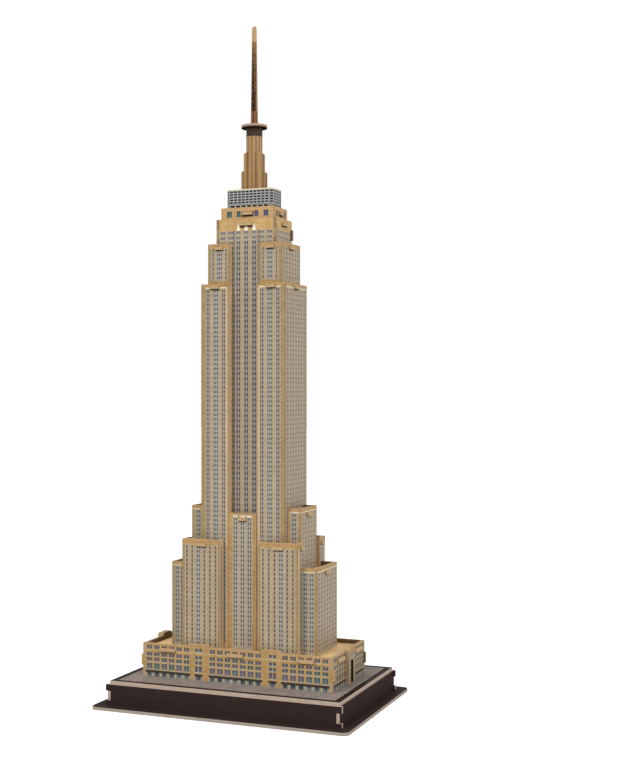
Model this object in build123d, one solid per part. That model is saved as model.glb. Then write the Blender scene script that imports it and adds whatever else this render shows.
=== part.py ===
from build123d import *
import os

# A stepped skyscraper model built from foam board.
# Millimetres. +X runs along the long side to the right, +Y from front to back, +Z up.
# The origin is the centre of the bottom plate's underside.

# ---------------------------------------------------------------- board and joints
BOARD = 2.4              # thickness of every flat or folded board
SLOT_PLAY = 0.1          # room round a tab in its slot
GAP = 0.1                # room between a roof and the walls round it
TAB_PROUD = 1.4          # how far a tab stands out of the wall it passes through
TAB_ROOT = 0.5           # how far a tab's solid reaches into its own board, to join it
FOOT_TAB = 2.2           # how far a foot tab reaches down into the board below
HELD_TAB = 10.0          # width of a roof's tab into the wall on its inner side

# ---------------------------------------------------------------- plinth
PLATE_X = 203.0          # bottom plate, long side
PLATE_Y = 153.0          # bottom plate, short side
PLATE_CORNER = 5.0       # its rounded corners
BASE_WALL_X = 93.9       # half length of the front and back walls
BASE_WALL_Y = 66.0       # half depth over the front and back walls
BASE_SIDE_X = 92.3       # outer face of the side walls
BASE_WALL_TOP = 17.6
BASE_FINGER = (5.7, 12.7)    # height of the fingers at the plinth's corners
TOP_PLATE_X = 91.4       # half length of the top plate
TOP_PLATE_Y = 63.8       # half depth of the top plate
CROSS_RIB_X = 45.0       # distance of each cross rib from the centre

# ---------------------------------------------------------------- podium
PODIUM_X = 77.1
PODIUM_Y = 37.5
PODIUM_TOP = 45.2
PODIUM_ROOF = 39.6       # underside of the podium roof
PODIUM_FINGER = (28.0, 36.3)
PODIUM_TAB = 13.0        # width of the roof tabs
PODIUM_TAB_X = 56.3      # distance of the outer front tabs from the centre
PODIUM_TAB_Y = 20.0      # distance of the side tabs from the centre
BAY_RAISED_X = (21.8, 36.8)  # parapet over each narrow bay stands higher
BAY_RAISED_TOP = 47.2
ENTRANCE_HALF = 7.5      # half width of the entrance panel
ENTRANCE_TOP = 47.4
ENTRANCE_ROUND = 2.0     # rounding of the entrance panel's top corners
DOOR_HALF = 2.8          # half width of the doorway
DOOR_TOP = 37.2

# ---------------------------------------------------------------- core
CORE_X = 24.8
CORE_Y = 16.2
CORE_TOP = 370.0
CORE_FINGERS = ((52.0, 62.0), (202.0, 212.0), (355.0, 363.0))
CORE_FLOORS = (148.8, 258.8)     # undersides of the two floors inside
LOOKOUT_ROOF = 364.6
LOOKOUT_TAB = 10.8

# ---------------------------------------------------------------- blocks round the tower's foot
OUTER_X = 59.7           # outer wing
OUTER_Y = 22.5
OUTER_TOP = 107.0
OUTER_ROOF = 100.6
CORNER_IN_X = 15.8       # corner wing
CORNER_OUT_X = 47.4
CORNER_Y = 30.0
CORNER_TOP = 125.8
CORNER_ROOF = 120.4
CORNER_TAB_X = (27.4, 35.6)
CORNER_TAB_Y = (19.4, 25.4)
SHOULDER_X = 45.0        # shoulder
SHOULDER_Y = 17.5
SHOULDER_TOP = 150.5
SHOULDER_ROOF = 144.0
BAY_X = 11.7             # centre bay
BAY_Y = 23.6
BAY_TOP = 146.0
BAY_ROOF = 140.4
BAY_TAB = 6.2
SIDE_TAB = 9.4           # width of the tabs on the short ends

# ---------------------------------------------------------------- tower and upper shells
TOWER_X = 34.5
TOWER_Y = 23.2
TOWER_TOP = 320.2
TOWER_ROOF = 316.4
RECESS_X = 11.8          # half width of the recess between the pylons
TOWER_TAB_X = (19.2, 26.8)
RETURN_TABS = ((95.0, 103.0), (195.0, 203.0), (285.0, 293.0))
UPPER_X = 30.4
UPPER_Y = 19.6
UPPER_TOP = 351.1
UPPER_ROOF = 346.5
UPPER_TAB_X = (17.8, 24.2)

# ---------------------------------------------------------------- band with the large windows, crown
LANTERN_X = 21.9
LANTERN_Y = 13.7
LANTERN_TOP = 379.0
LANTERN_ROOF = 373.0
LANTERN_TAB = 8.3
CROWN_X = 19.3
CROWN_Y = 10.4
CROWN_CHAMFER = 2.7
CROWN_TOP = 393.5

# ---------------------------------------------------------------- mast
MAST_FOOT_HALF = 8.0     # half length of the crossed boards inside the crown
WING_HALF = 10.4         # half length of the lower wings
WING_TOP = 408.0
STEP_HALF = 8.4          # half length of the upper wings
STEP_TOP = 422.3
WING_ROUND = 1.8         # rounding of the wings' shoulders
TUBE_R = 6.3             # rolled tube between the wings
TUBE_WALL = 0.8
TUBE_TOP = 441.2
TUBE_HALF = 5.2          # half length of the boards inside the tube
DISC_R = 9.95
ANTENNA_FOOT_HALF = 2.5
ANTENNA_TIP_HALF = 1.4
SPLIT_TIP_HALF = 1.85    # the split board keeps this much at its top
ANTENNA_TOP = 520.0
SPLIT_TOP = 516.0
HALF_LAP = 410.0         # height where the two crossed boards' slots meet

PODIUM_FLOOR = BASE_WALL_TOP + BOARD     # top of the plinth's top plate
DECK = PODIUM_ROOF + BOARD               # top of the podium roof
TOWER_DECK = TOWER_ROOF + BOARD
LOOKOUT_DECK = LOOKOUT_ROOF + BOARD
LANTERN_DECK = LANTERN_ROOF + BOARD
DISC_BOTTOM = TUBE_TOP
DISC_TOP = DISC_BOTTOM + BOARD


# ---------------------------------------------------------------- helpers
def slab(x, y, z):
    """A box between two x, two y and two z values."""
    centre = Pos((x[0] + x[1]) / 2, (y[0] + y[1]) / 2, (z[0] + z[1]) / 2)
    return centre * Box(x[1] - x[0], y[1] - y[0], z[1] - z[0])


def across(half):
    """The pair of values from minus half to plus half."""
    return (-half, half)


def thick(z):
    """The heights of a flat board whose underside is at z."""
    return (z, z + BOARD)


def flip(pair):
    return (-pair[1], -pair[0])


def to_left(tab):
    return (flip(tab[0]), tab[1], tab[2])


def to_back(tab):
    return (tab[0], flip(tab[1]), tab[2])


def left_and_right(tabs):
    return tabs + [to_left(tab) for tab in tabs]


def front_and_back(tabs):
    return tabs + [to_back(tab) for tab in tabs]


def with_tabs(shape, tabs):
    for tab in tabs:
        shape += slab(*tab)
    return shape


def with_slots(shape, tabs):
    """Cut a slot for each tab, with play all round it."""
    for x, y, z in tabs:
        roomy = [(pair[0] - SLOT_PLAY, pair[1] + SLOT_PLAY) for pair in (x, y, z)]
        shape -= slab(*roomy)
    return shape


def mirrored(shape, plane):
    return mirror(shape, about=plane)


def save(name, shape):
    export_step(shape, f"parts/{name}.step")


def save_pair(name, right):
    """Write a right piece and its mirror image on the left."""
    save(f"{name}_right", right)
    save(f"{name}_left", mirrored(right, Plane.YZ))


def save_front_and_back(name, front):
    save(f"{name}_front", front)
    save(f"{name}_back", mirrored(front, Plane.XZ))


def save_four(name, front_right):
    for end, piece in (("front", front_right), ("back", mirrored(front_right, Plane.XZ))):
        save(f"{name}_{end}_right", piece)
        save(f"{name}_{end}_left", mirrored(piece, Plane.YZ))


os.makedirs("parts", exist_ok=True)


# ---------------------------------------------------------------- tabs that two pieces share
def front_tab(x, half_y, z):
    """A roof's tab through a front wall whose outer face is at minus half_y."""
    return (x, (-half_y - TAB_PROUD, BOARD - half_y + TAB_ROOT), thick(z))


def side_tab(half_x, half_width, z):
    """A roof's tab through a right wall whose outer face is at half_x."""
    return ((half_x - BOARD - TAB_ROOT, half_x + TAB_PROUD), across(half_width), thick(z))


def held_tab(outer_x, z):
    """A roof's tab into the wall on its inner side, whose outer face is at outer_x."""
    return ((outer_x - BOARD, outer_x + GAP + TAB_ROOT), across(HELD_TAB / 2), thick(z))


def front_foot(x, half_y, floor=DECK):
    """A tab under a front wall, which goes down into the board that the wall stands on."""
    return (x, (-half_y, BOARD - half_y), (floor - FOOT_TAB, floor + TAB_ROOT))


def side_foot(half_x, y, floor=DECK):
    return ((half_x - BOARD, half_x), y, (floor - FOOT_TAB, floor + TAB_ROOT))


base_front_feet = left_and_right([front_foot((44.0, 56.0), BASE_WALL_Y, BOARD)])
base_side_feet = front_and_back([side_foot(BASE_SIDE_X, (-41.0, -29.0), BOARD)])
rib_top_z = (BASE_WALL_TOP - TAB_ROOT, PODIUM_FLOOR - GAP)
rib_top_tabs = left_and_right([((15.0, 27.0), across(BOARD / 2), rib_top_z)])
podium_front_feet = left_and_right([front_foot((45.0, 57.0), PODIUM_Y, PODIUM_FLOOR)])
podium_side_feet = front_and_back([side_foot(PODIUM_X, (-28.0, -16.0), PODIUM_FLOOR)])

half_tab = PODIUM_TAB / 2
podium_front_tabs = [
    front_tab((middle - half_tab, middle + half_tab), PODIUM_Y, PODIUM_ROOF)
    for middle in (-PODIUM_TAB_X, 0.0, PODIUM_TAB_X)
]
podium_side_y = (-PODIUM_TAB_Y - half_tab, -PODIUM_TAB_Y + half_tab)
podium_side_x = (PODIUM_X - BOARD - TAB_ROOT, PODIUM_X + TAB_PROUD)
podium_side_tabs = front_and_back([(podium_side_x, podium_side_y, thick(PODIUM_ROOF))])
podium_fingers = [(podium_side_x, (-PODIUM_Y, BOARD - PODIUM_Y), PODIUM_FINGER)]
entrance_tab_x = (PODIUM_X - BOARD + GAP, PODIUM_X + TAB_ROOT)
entrance_tabs = front_and_back([(entrance_tab_x, (-6.5, -4.0), (26.0, 33.0))])

core_front_feet = left_and_right([front_foot((10.0, 18.0), CORE_Y)])
core_side_feet = [side_foot(CORE_X, across(5.0))]
finger_x = (CORE_X - BOARD - TAB_ROOT, CORE_X + TAB_PROUD)
core_fingers = [(finger_x, (-CORE_Y, BOARD - CORE_Y), z) for z in CORE_FINGERS]
floor_front_tabs = [left_and_right([front_tab((15.0, 21.0), CORE_Y, z)]) for z in CORE_FLOORS]
floor_side_tabs = [[side_tab(CORE_X, 4.0, z)] for z in CORE_FLOORS]
lookout_front_tab = front_tab(across(LOOKOUT_TAB / 2), CORE_Y, LOOKOUT_ROOF)
lookout_side_tab = side_tab(CORE_X, LOOKOUT_TAB / 2, LOOKOUT_ROOF)

tower_feet = [side_foot(TOWER_X, across(6.0))]
return_y = (-CORE_Y - TAB_ROOT, BOARD - CORE_Y + 0.2)
return_tabs = [((RECESS_X, RECESS_X + BOARD), return_y, z) for z in RETURN_TABS]
tower_front_tab = front_tab(TOWER_TAB_X, TOWER_Y, TOWER_ROOF)
tower_side_tab = side_tab(TOWER_X, SIDE_TAB / 2, TOWER_ROOF)
tower_held_tab = held_tab(CORE_X, TOWER_ROOF)
upper_front_tab = front_tab(UPPER_TAB_X, UPPER_Y, UPPER_ROOF)
upper_side_tab = side_tab(UPPER_X, SIDE_TAB / 2, UPPER_ROOF)
upper_held_tab = held_tab(CORE_X, UPPER_ROOF)

outer_feet = [side_foot(OUTER_X, across(6.0))]
outer_side_tab = side_tab(OUTER_X, SIDE_TAB / 2, OUTER_ROOF)
outer_held_tab = held_tab(SHOULDER_X, OUTER_ROOF)
corner_feet = [front_foot((26.0, 36.0), CORNER_Y)]
corner_front_tab = front_tab(CORNER_TAB_X, CORNER_Y, CORNER_ROOF)
corner_side_x = (CORNER_OUT_X - BOARD - TAB_ROOT, CORNER_OUT_X + TAB_PROUD)
corner_side_tab = (corner_side_x, flip(CORNER_TAB_Y), thick(CORNER_ROOF))
corner_held_y = (-TOWER_Y - GAP - TAB_ROOT, BOARD - TOWER_Y)
corner_held_tab = ((20.0, 26.0), corner_held_y, thick(CORNER_ROOF))
shoulder_feet = [side_foot(SHOULDER_X, across(6.0))]
shoulder_side_tab = side_tab(SHOULDER_X, SIDE_TAB / 2, SHOULDER_ROOF)
shoulder_held_tab = held_tab(TOWER_X, SHOULDER_ROOF)
bay_feet = [front_foot(across(4.0), BAY_Y)]
bay_front_tab = front_tab(across(BAY_TAB / 2), BAY_Y, BAY_ROOF)

lantern_front_tab = front_tab(across(LANTERN_TAB / 2), LANTERN_Y, LANTERN_ROOF)
lantern_side_tab = side_tab(LANTERN_X, 3.5, LANTERN_ROOF)


# ---------------------------------------------------------------- plinth
def base_bottom_plate():
    plate = extrude(RectangleRounded(PLATE_X, PLATE_Y, PLATE_CORNER), BOARD)
    plate = with_slots(plate, front_and_back(base_front_feet))
    return with_slots(plate, left_and_right(base_side_feet))


def base_front_wall():
    """Runs past the side walls, and a notch at each end takes a side wall's finger."""
    wall = slab(across(BASE_WALL_X), (-BASE_WALL_Y, BOARD - BASE_WALL_Y), (BOARD, BASE_WALL_TOP))
    wall = with_tabs(wall, base_front_feet)
    notch = ((BASE_SIDE_X - BOARD, BASE_WALL_X), (-BASE_WALL_Y, BOARD - BASE_WALL_Y), BASE_FINGER)
    return with_slots(wall, left_and_right([notch]))


def base_side_wall():
    x = (BASE_SIDE_X - BOARD, BASE_SIDE_X)
    wall = slab(x, across(BASE_WALL_Y - BOARD), (BOARD, BASE_WALL_TOP))
    wall = with_tabs(wall, base_side_feet)
    return with_tabs(wall, [(x, across(BASE_WALL_Y), BASE_FINGER)])


def base_top_plate():
    plate = slab(across(TOP_PLATE_X), across(TOP_PLATE_Y), thick(BASE_WALL_TOP))
    plate = with_slots(plate, rib_top_tabs)
    plate = with_slots(plate, front_and_back(podium_front_feet))
    return with_slots(plate, left_and_right(podium_side_feet))


RIB_MIDDLE = (BOARD + BASE_WALL_TOP) / 2     # height where the crossed ribs' slots meet


def base_long_rib():
    rib = slab(across(BASE_SIDE_X - BOARD - GAP), across(BOARD / 2), (BOARD, BASE_WALL_TOP))
    rib = with_tabs(rib, rib_top_tabs)
    half_x = (CROSS_RIB_X - BOARD / 2, CROSS_RIB_X + BOARD / 2)
    return with_slots(rib, left_and_right([(half_x, across(BOARD), (RIB_MIDDLE, BASE_WALL_TOP))]))


def base_cross_rib():
    x = (CROSS_RIB_X - BOARD / 2, CROSS_RIB_X + BOARD / 2)
    rib = slab(x, across(BASE_WALL_Y - BOARD - GAP), (BOARD, BASE_WALL_TOP))
    return with_slots(rib, [(x, across(BOARD / 2), (BOARD, RIB_MIDDLE))])


save("base_bottom_plate", base_bottom_plate())
save("base_front_wall", base_front_wall())
save("base_back_wall", mirrored(base_front_wall(), Plane.XZ))
save("base_right_wall", base_side_wall())
save("base_left_wall", mirrored(base_side_wall(), Plane.YZ))
save("base_top_plate", base_top_plate())
save("base_long_rib", base_long_rib())
save_pair("base_cross_rib", base_cross_rib())


# ---------------------------------------------------------------- podium
def podium_front_wall():
    """Sits between the side walls, with fingers through them. Two stretches of parapet stand higher."""
    y = (-PODIUM_Y, BOARD - PODIUM_Y)
    wall = slab(across(PODIUM_X - BOARD), y, (PODIUM_FLOOR, PODIUM_TOP))
    wall = with_tabs(wall, left_and_right([(BAY_RAISED_X, y, (PODIUM_TOP - 1, BAY_RAISED_TOP))]))
    wall = with_tabs(wall, left_and_right(podium_fingers))
    wall = with_tabs(wall, podium_front_feet)
    return with_slots(wall, podium_front_tabs)


def rounded_head(x, half, bottom, top, radius):
    """A board across y with its two top corners rounded."""
    head = slab(x, across(half), (bottom, top))
    corners = head.edges().filter_by(Axis.X).group_by(Axis.Z)[-1]
    return fillet(corners, radius)


def podium_side_wall():
    x = (PODIUM_X - BOARD, PODIUM_X)
    wall = slab(x, across(PODIUM_Y), (PODIUM_FLOOR, PODIUM_TOP))
    wall += rounded_head(x, ENTRANCE_HALF, DECK + 1, ENTRANCE_TOP, ENTRANCE_ROUND)
    wall = with_tabs(wall, podium_side_feet)
    wall = with_slots(wall, front_and_back(podium_fingers))
    wall = with_slots(wall, podium_side_tabs)
    return with_slots(wall, entrance_tabs)


def entrance_panel():
    """A second layer on the short end, with a tall narrow doorway and two tabs into the wall behind it."""
    x = (PODIUM_X, PODIUM_X + BOARD)
    panel = rounded_head(x, ENTRANCE_HALF, PODIUM_FLOOR, ENTRANCE_TOP, ENTRANCE_ROUND)
    panel = with_tabs(panel, entrance_tabs)
    return panel - slab((x[0] - 0.01, x[1] + 0.01), across(DOOR_HALF), (PODIUM_FLOOR - 1, DOOR_TOP))


def podium_roof():
    roof = slab(across(PODIUM_X - BOARD - GAP), across(PODIUM_Y - BOARD - GAP), thick(PODIUM_ROOF))
    roof = with_tabs(roof, front_and_back(podium_front_tabs))
    roof = with_tabs(roof, left_and_right(podium_side_tabs))
    for feet in (core_front_feet, bay_feet):
        roof = with_slots(roof, front_and_back(feet))
    for feet in (core_side_feet, tower_feet, outer_feet, shoulder_feet):
        roof = with_slots(roof, left_and_right(feet))
    return with_slots(roof, left_and_right(front_and_back(corner_feet)))


save("podium_front_wall", podium_front_wall())
save("podium_back_wall", mirrored(podium_front_wall(), Plane.XZ))
save("podium_right_wall", podium_side_wall())
save("podium_left_wall", mirrored(podium_side_wall(), Plane.YZ))
save_pair("entrance_panel", entrance_panel())
save("podium_roof", podium_roof())


# ---------------------------------------------------------------- core
def core_front_wall(finger_end):
    """The recess face: one tall board between the core's side walls, with fingers that reach to finger_end."""
    wall = slab(across(CORE_X - BOARD), (-CORE_Y, BOARD - CORE_Y), (DECK, CORE_TOP))
    fingers = [((x[0], finger_end), y, z) for x, y, z in core_fingers]
    wall = with_tabs(wall, left_and_right(fingers))
    wall = with_tabs(wall, core_front_feet)
    for tabs in floor_front_tabs:
        wall = with_slots(wall, tabs)
    wall = with_slots(wall, left_and_right(return_tabs))
    return with_slots(wall, [lookout_front_tab])


def core_side_wall():
    wall = slab((CORE_X - BOARD, CORE_X), across(CORE_Y), (DECK, CORE_TOP))
    wall = with_tabs(wall, core_side_feet)
    wall = with_slots(wall, front_and_back(core_fingers))
    for tabs in floor_side_tabs:
        wall = with_slots(wall, tabs)
    return with_slots(wall, [lookout_side_tab, tower_held_tab, upper_held_tab])


def core_floor(z, front_tabs, side_tabs):
    floor = slab(across(CORE_X - BOARD - GAP), across(CORE_Y - BOARD - GAP), thick(z))
    floor = with_tabs(floor, front_and_back(front_tabs))
    return with_tabs(floor, left_and_right(side_tabs))


# The front wall's fingers end flush with the side walls, and the back wall's stand proud as tabs do.
save("core_front_wall", core_front_wall(CORE_X))
save("core_back_wall", mirrored(core_front_wall(CORE_X + TAB_PROUD), Plane.XZ))
save("core_right_wall", core_side_wall())
save("core_left_wall", mirrored(core_side_wall(), Plane.YZ))
save("core_floor_lower", core_floor(CORE_FLOORS[0], floor_front_tabs[0], floor_side_tabs[0]))
save("core_floor_upper", core_floor(CORE_FLOORS[1], floor_front_tabs[1], floor_side_tabs[1]))
save("lookout_roof", core_floor(LOOKOUT_ROOF, [lookout_front_tab], [lookout_side_tab]))


# ---------------------------------------------------------------- tower and upper shells
def folded_shell(half_x, half_y, z):
    """A board folded into a side, two faces and two returns that meet the core's face."""
    shell = slab((RECESS_X, half_x), across(half_y), z)
    shell -= slab((RECESS_X + BOARD, half_x - BOARD), across(half_y - BOARD), z)
    return shell - slab((RECESS_X - 1, RECESS_X + BOARD + 1), across(CORE_Y), z)


def ring_roof(half_x, half_y, z):
    """The roof between a folded shell and the core."""
    x = (RECESS_X + BOARD + GAP, half_x - BOARD - GAP)
    roof = slab(x, across(half_y - BOARD - GAP), thick(z))
    return roof - slab((RECESS_X, CORE_X + GAP), across(CORE_Y + GAP), thick(z))


def tower_shell():
    """Its returns stop at the roof, so that the upper shell can stand across them."""
    shell = folded_shell(TOWER_X, TOWER_Y, (DECK, TOWER_TOP))
    shell -= slab((RECESS_X, RECESS_X + BOARD), across(TOWER_Y - BOARD), (TOWER_DECK, TOWER_TOP))
    shell = with_tabs(shell, tower_feet + front_and_back(return_tabs))
    shell = with_slots(shell, front_and_back([tower_front_tab, corner_held_tab]))
    return with_slots(shell, [tower_side_tab, shoulder_held_tab])


def tower_roof():
    roof = ring_roof(TOWER_X, TOWER_Y, TOWER_ROOF)
    return with_tabs(roof, front_and_back([tower_front_tab]) + [tower_side_tab, tower_held_tab])


def upper_shell():
    shell = folded_shell(UPPER_X, UPPER_Y, (TOWER_DECK, UPPER_TOP))
    return with_slots(shell, front_and_back([upper_front_tab]) + [upper_side_tab])


def upper_roof():
    roof = ring_roof(UPPER_X, UPPER_Y, UPPER_ROOF)
    return with_tabs(roof, front_and_back([upper_front_tab]) + [upper_side_tab, upper_held_tab])


save_pair("tower_shell", tower_shell())
save_pair("tower_roof", tower_roof())
save_pair("upper_shell", upper_shell())
save_pair("upper_roof", upper_roof())


# ---------------------------------------------------------------- blocks round the tower's foot
def open_box(inner_x, outer_x, half_y, z):
    """A board folded into an end and two returns, open towards the tower."""
    box = slab((inner_x, outer_x), across(half_y), z)
    return box - slab((inner_x - 1, outer_x - BOARD), across(half_y - BOARD), z)


def outer_wing():
    wing = open_box(CORNER_OUT_X, OUTER_X, OUTER_Y, (DECK, OUTER_TOP))
    return with_slots(with_tabs(wing, outer_feet), [outer_side_tab])


def outer_wing_roof():
    z = thick(OUTER_ROOF)
    roof = slab((CORNER_OUT_X + GAP, OUTER_X - BOARD - GAP), across(OUTER_Y - BOARD - GAP), z)
    roof += slab((SHOULDER_X + GAP, CORNER_OUT_X + 1), across(SHOULDER_Y - GAP), z)
    return with_tabs(roof, [outer_side_tab, outer_held_tab])


def shoulder():
    block = open_box(TOWER_X, SHOULDER_X, SHOULDER_Y, (DECK, SHOULDER_TOP))
    return with_slots(with_tabs(block, shoulder_feet), [shoulder_side_tab, outer_held_tab])


def shoulder_roof():
    x = (TOWER_X + GAP, SHOULDER_X - BOARD - GAP)
    roof = slab(x, across(SHOULDER_Y - BOARD - GAP), thick(SHOULDER_ROOF))
    return with_tabs(roof, [shoulder_side_tab, shoulder_held_tab])


def corner_region(wall, gap, z):
    """The ground in front of the tower and the shoulder that a corner wing covers, less a wall and a gap."""
    inner = CORNER_IN_X + wall + gap
    outer = CORNER_OUT_X - wall - gap
    front = -CORNER_Y + wall + gap
    region = slab((inner, outer), (front, -TOWER_Y - gap), z)
    return region + slab((TOWER_X + gap, outer), (front, -SHOULDER_Y - gap), z)


def corner_wing():
    z = (DECK, CORNER_TOP)
    wing = corner_region(0.0, 0.0, z)
    wing -= slab((CORNER_IN_X + BOARD, CORNER_OUT_X - BOARD), (BOARD - CORNER_Y, 0.0), z)
    return with_slots(with_tabs(wing, corner_feet), [corner_front_tab, corner_side_tab])


def corner_wing_roof():
    roof = corner_region(BOARD, GAP, thick(CORNER_ROOF))
    return with_tabs(roof, [corner_front_tab, corner_side_tab, corner_held_tab])


def centre_bay():
    z = (DECK, BAY_TOP)
    bay = slab(across(BAY_X), (-BAY_Y, -CORE_Y - GAP), z)
    bay -= slab(across(BAY_X - BOARD), (BOARD - BAY_Y, 0.0), z)
    return with_slots(with_tabs(bay, bay_feet), [bay_front_tab])


def centre_bay_roof():
    roof = slab(across(BAY_X - BOARD - GAP), (BOARD - BAY_Y + GAP, -CORE_Y - GAP), thick(BAY_ROOF))
    return with_tabs(roof, [bay_front_tab])


save_pair("outer_wing", outer_wing())
save_pair("outer_wing_roof", outer_wing_roof())
save_pair("shoulder", shoulder())
save_pair("shoulder_roof", shoulder_roof())
save_four("corner_wing", corner_wing())
save_four("corner_wing_roof", corner_wing_roof())
save_front_and_back("centre_bay", centre_bay())
save_front_and_back("centre_bay_roof", centre_bay_roof())


# ---------------------------------------------------------------- band with the large windows, crown
def lantern_band():
    z = (LOOKOUT_DECK, LANTERN_TOP)
    band = slab(across(LANTERN_X), across(LANTERN_Y), z)
    band -= slab(across(LANTERN_X - BOARD), across(LANTERN_Y - BOARD), z)
    return with_slots(band, front_and_back([lantern_front_tab]) + left_and_right([lantern_side_tab]))


def lantern_roof():
    roof = slab(across(LANTERN_X - BOARD - GAP), across(LANTERN_Y - BOARD - GAP), thick(LANTERN_ROOF))
    return with_tabs(roof, front_and_back([lantern_front_tab]) + left_and_right([lantern_side_tab]))


def crown_outline():
    """A rectangle with its four corners cut off."""
    rectangle = Rectangle(2 * CROWN_X, 2 * CROWN_Y)
    return chamfer(rectangle.vertices(), CROWN_CHAMFER)


def crown_band():
    ring = crown_outline() - offset(crown_outline(), -BOARD, kind=Kind.INTERSECTION)
    return Pos(0, 0, LANTERN_DECK) * extrude(ring, CROWN_TOP - LANTERN_DECK)


def crossed(half_length, z, width=BOARD):
    """A cross on the two diagonals, as the mast's boards stand."""
    bar = slab(across(half_length), across(width / 2), z)
    return Rot(0, 0, 45) * bar + Rot(0, 0, -45) * bar


def crown_cap():
    lid = extrude(offset(crown_outline(), -BOARD - GAP, kind=Kind.INTERSECTION), BOARD)
    lid = Pos(0, 0, CROWN_TOP - BOARD) * lid
    hole = crossed(MAST_FOOT_HALF + SLOT_PLAY, (CROWN_TOP - BOARD - 1, CROWN_TOP + 1), BOARD + 2 * SLOT_PLAY)
    return lid - hole


save("lantern_band", lantern_band())
save("lantern_roof", lantern_roof())
save("crown_band", crown_band())
save("crown_cap", crown_cap())


# ---------------------------------------------------------------- mast
def mast_outline(tip_half, top):
    """Points round a mast board: one side from foot to tip, then its mirror image back down."""
    half = [
        (MAST_FOOT_HALF, LANTERN_DECK),
        (MAST_FOOT_HALF, CROWN_TOP),
        (WING_HALF, CROWN_TOP),
        (WING_HALF, WING_TOP),
        (STEP_HALF, WING_TOP),
        (STEP_HALF, STEP_TOP),
        (TUBE_HALF, STEP_TOP),
        (TUBE_HALF, TUBE_TOP - GAP),
        (ANTENNA_FOOT_HALF, TUBE_TOP - GAP),
        (ANTENNA_FOOT_HALF, DISC_TOP),
        (tip_half, top),
    ]
    return half + [(-x, z) for x, z in reversed(half)]


def mast_board(tip_half, top, tip_round):
    """A flat board in the XZ plane with rounded wing shoulders and a rounded tip."""
    face = make_face(Polyline(*mast_outline(tip_half, top), close=True))
    board = extrude(Plane.XZ * face, BOARD / 2, both=True)
    for half, height in ((WING_HALF, WING_TOP), (STEP_HALF, STEP_TOP)):
        level = board.edges().filter_by(Axis.Y).filter_by_position(Axis.Z, height - 0.01, height + 0.01)
        board = fillet([edge for edge in level if abs(edge.center().X) > half - 0.01], WING_ROUND)
    tip = board.edges().filter_by(Axis.Y).group_by(Axis.Z)[-1]
    return fillet(tip, tip_round)


LAP_HALF = BOARD / 2 + SLOT_PLAY / 2     # half width of the half-lap slots


def mast_board_whole():
    """Whole above the half lap, slotted below it."""
    board = mast_board(ANTENNA_TIP_HALF, ANTENNA_TOP, ANTENNA_TIP_HALF - 0.1)
    board -= slab(across(LAP_HALF), across(BOARD), (LANTERN_DECK - 1, HALF_LAP + GAP))
    return Rot(0, 0, 45) * board


def mast_board_split():
    """Whole below the half lap, split in two prongs above it."""
    board = mast_board(SPLIT_TIP_HALF, SPLIT_TOP, 0.4)
    board -= slab(across(LAP_HALF), across(BOARD), (HALF_LAP, SPLIT_TOP + 1))
    return Rot(0, 0, -45) * board


def mast_tube():
    """Rolled card with four slits that let the wings through, open at the foot."""
    height = TUBE_TOP - CROWN_TOP
    tube = extrude(Circle(TUBE_R) - Circle(TUBE_R - TUBE_WALL), height)
    tube = Pos(0, 0, CROWN_TOP) * tube
    slits = crossed(WING_HALF, (CROWN_TOP - 1, STEP_TOP + SLOT_PLAY), BOARD + 2 * SLOT_PLAY)
    return tube - slits


def mast_disc():
    disc = Pos(0, 0, DISC_BOTTOM) * extrude(Circle(DISC_R), BOARD)
    hole = crossed(ANTENNA_FOOT_HALF + SLOT_PLAY, (DISC_BOTTOM - 1, DISC_TOP + 1), BOARD + 2 * SLOT_PLAY)
    return disc - hole


save("mast_board_whole", mast_board_whole())
save("mast_board_split", mast_board_split())
save("mast_tube", mast_tube())
save("mast_disc", mast_disc())
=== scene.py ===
# %% [markdown]
# # A stepped skyscraper model of printed foam board
#
# The real thing is a press-together souvenir: foam boards with a printed skin are pushed out of sheets,
# folded and slotted into one another. Everything the eye likes about it is in the print (rows of tiny
# windows, ochre bands, a dark plinth) and in the pale foam that shows wherever a board was cut.
#
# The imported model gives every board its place. This lesson adds the looks: it rebuilds the printed walls
# as thin folded sheets that carry their own print coordinates, and it gives the flat boards that stay
# a procedural finish.

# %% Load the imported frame
import math

import bpy
import numpy as np
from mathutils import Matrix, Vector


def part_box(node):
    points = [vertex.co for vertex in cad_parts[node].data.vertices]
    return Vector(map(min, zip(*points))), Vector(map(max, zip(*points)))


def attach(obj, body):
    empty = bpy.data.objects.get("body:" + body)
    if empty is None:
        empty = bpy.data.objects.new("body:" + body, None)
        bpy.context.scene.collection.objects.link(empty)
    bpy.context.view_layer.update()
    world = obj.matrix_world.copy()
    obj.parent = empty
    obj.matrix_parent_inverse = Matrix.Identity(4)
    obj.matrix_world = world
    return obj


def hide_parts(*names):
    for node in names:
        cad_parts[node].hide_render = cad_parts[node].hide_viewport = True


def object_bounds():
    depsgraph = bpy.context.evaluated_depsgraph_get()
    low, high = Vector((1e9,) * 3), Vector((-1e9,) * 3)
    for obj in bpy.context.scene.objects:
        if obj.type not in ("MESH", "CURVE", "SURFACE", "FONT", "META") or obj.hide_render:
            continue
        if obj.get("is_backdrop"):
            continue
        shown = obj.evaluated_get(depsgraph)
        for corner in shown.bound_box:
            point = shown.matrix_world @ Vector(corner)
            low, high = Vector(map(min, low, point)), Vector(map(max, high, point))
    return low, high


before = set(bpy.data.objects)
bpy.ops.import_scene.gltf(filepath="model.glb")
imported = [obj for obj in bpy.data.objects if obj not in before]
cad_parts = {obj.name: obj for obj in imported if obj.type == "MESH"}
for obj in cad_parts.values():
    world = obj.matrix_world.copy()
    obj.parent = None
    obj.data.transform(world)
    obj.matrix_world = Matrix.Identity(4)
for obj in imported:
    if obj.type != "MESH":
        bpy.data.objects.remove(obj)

MM = 0.001
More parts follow.
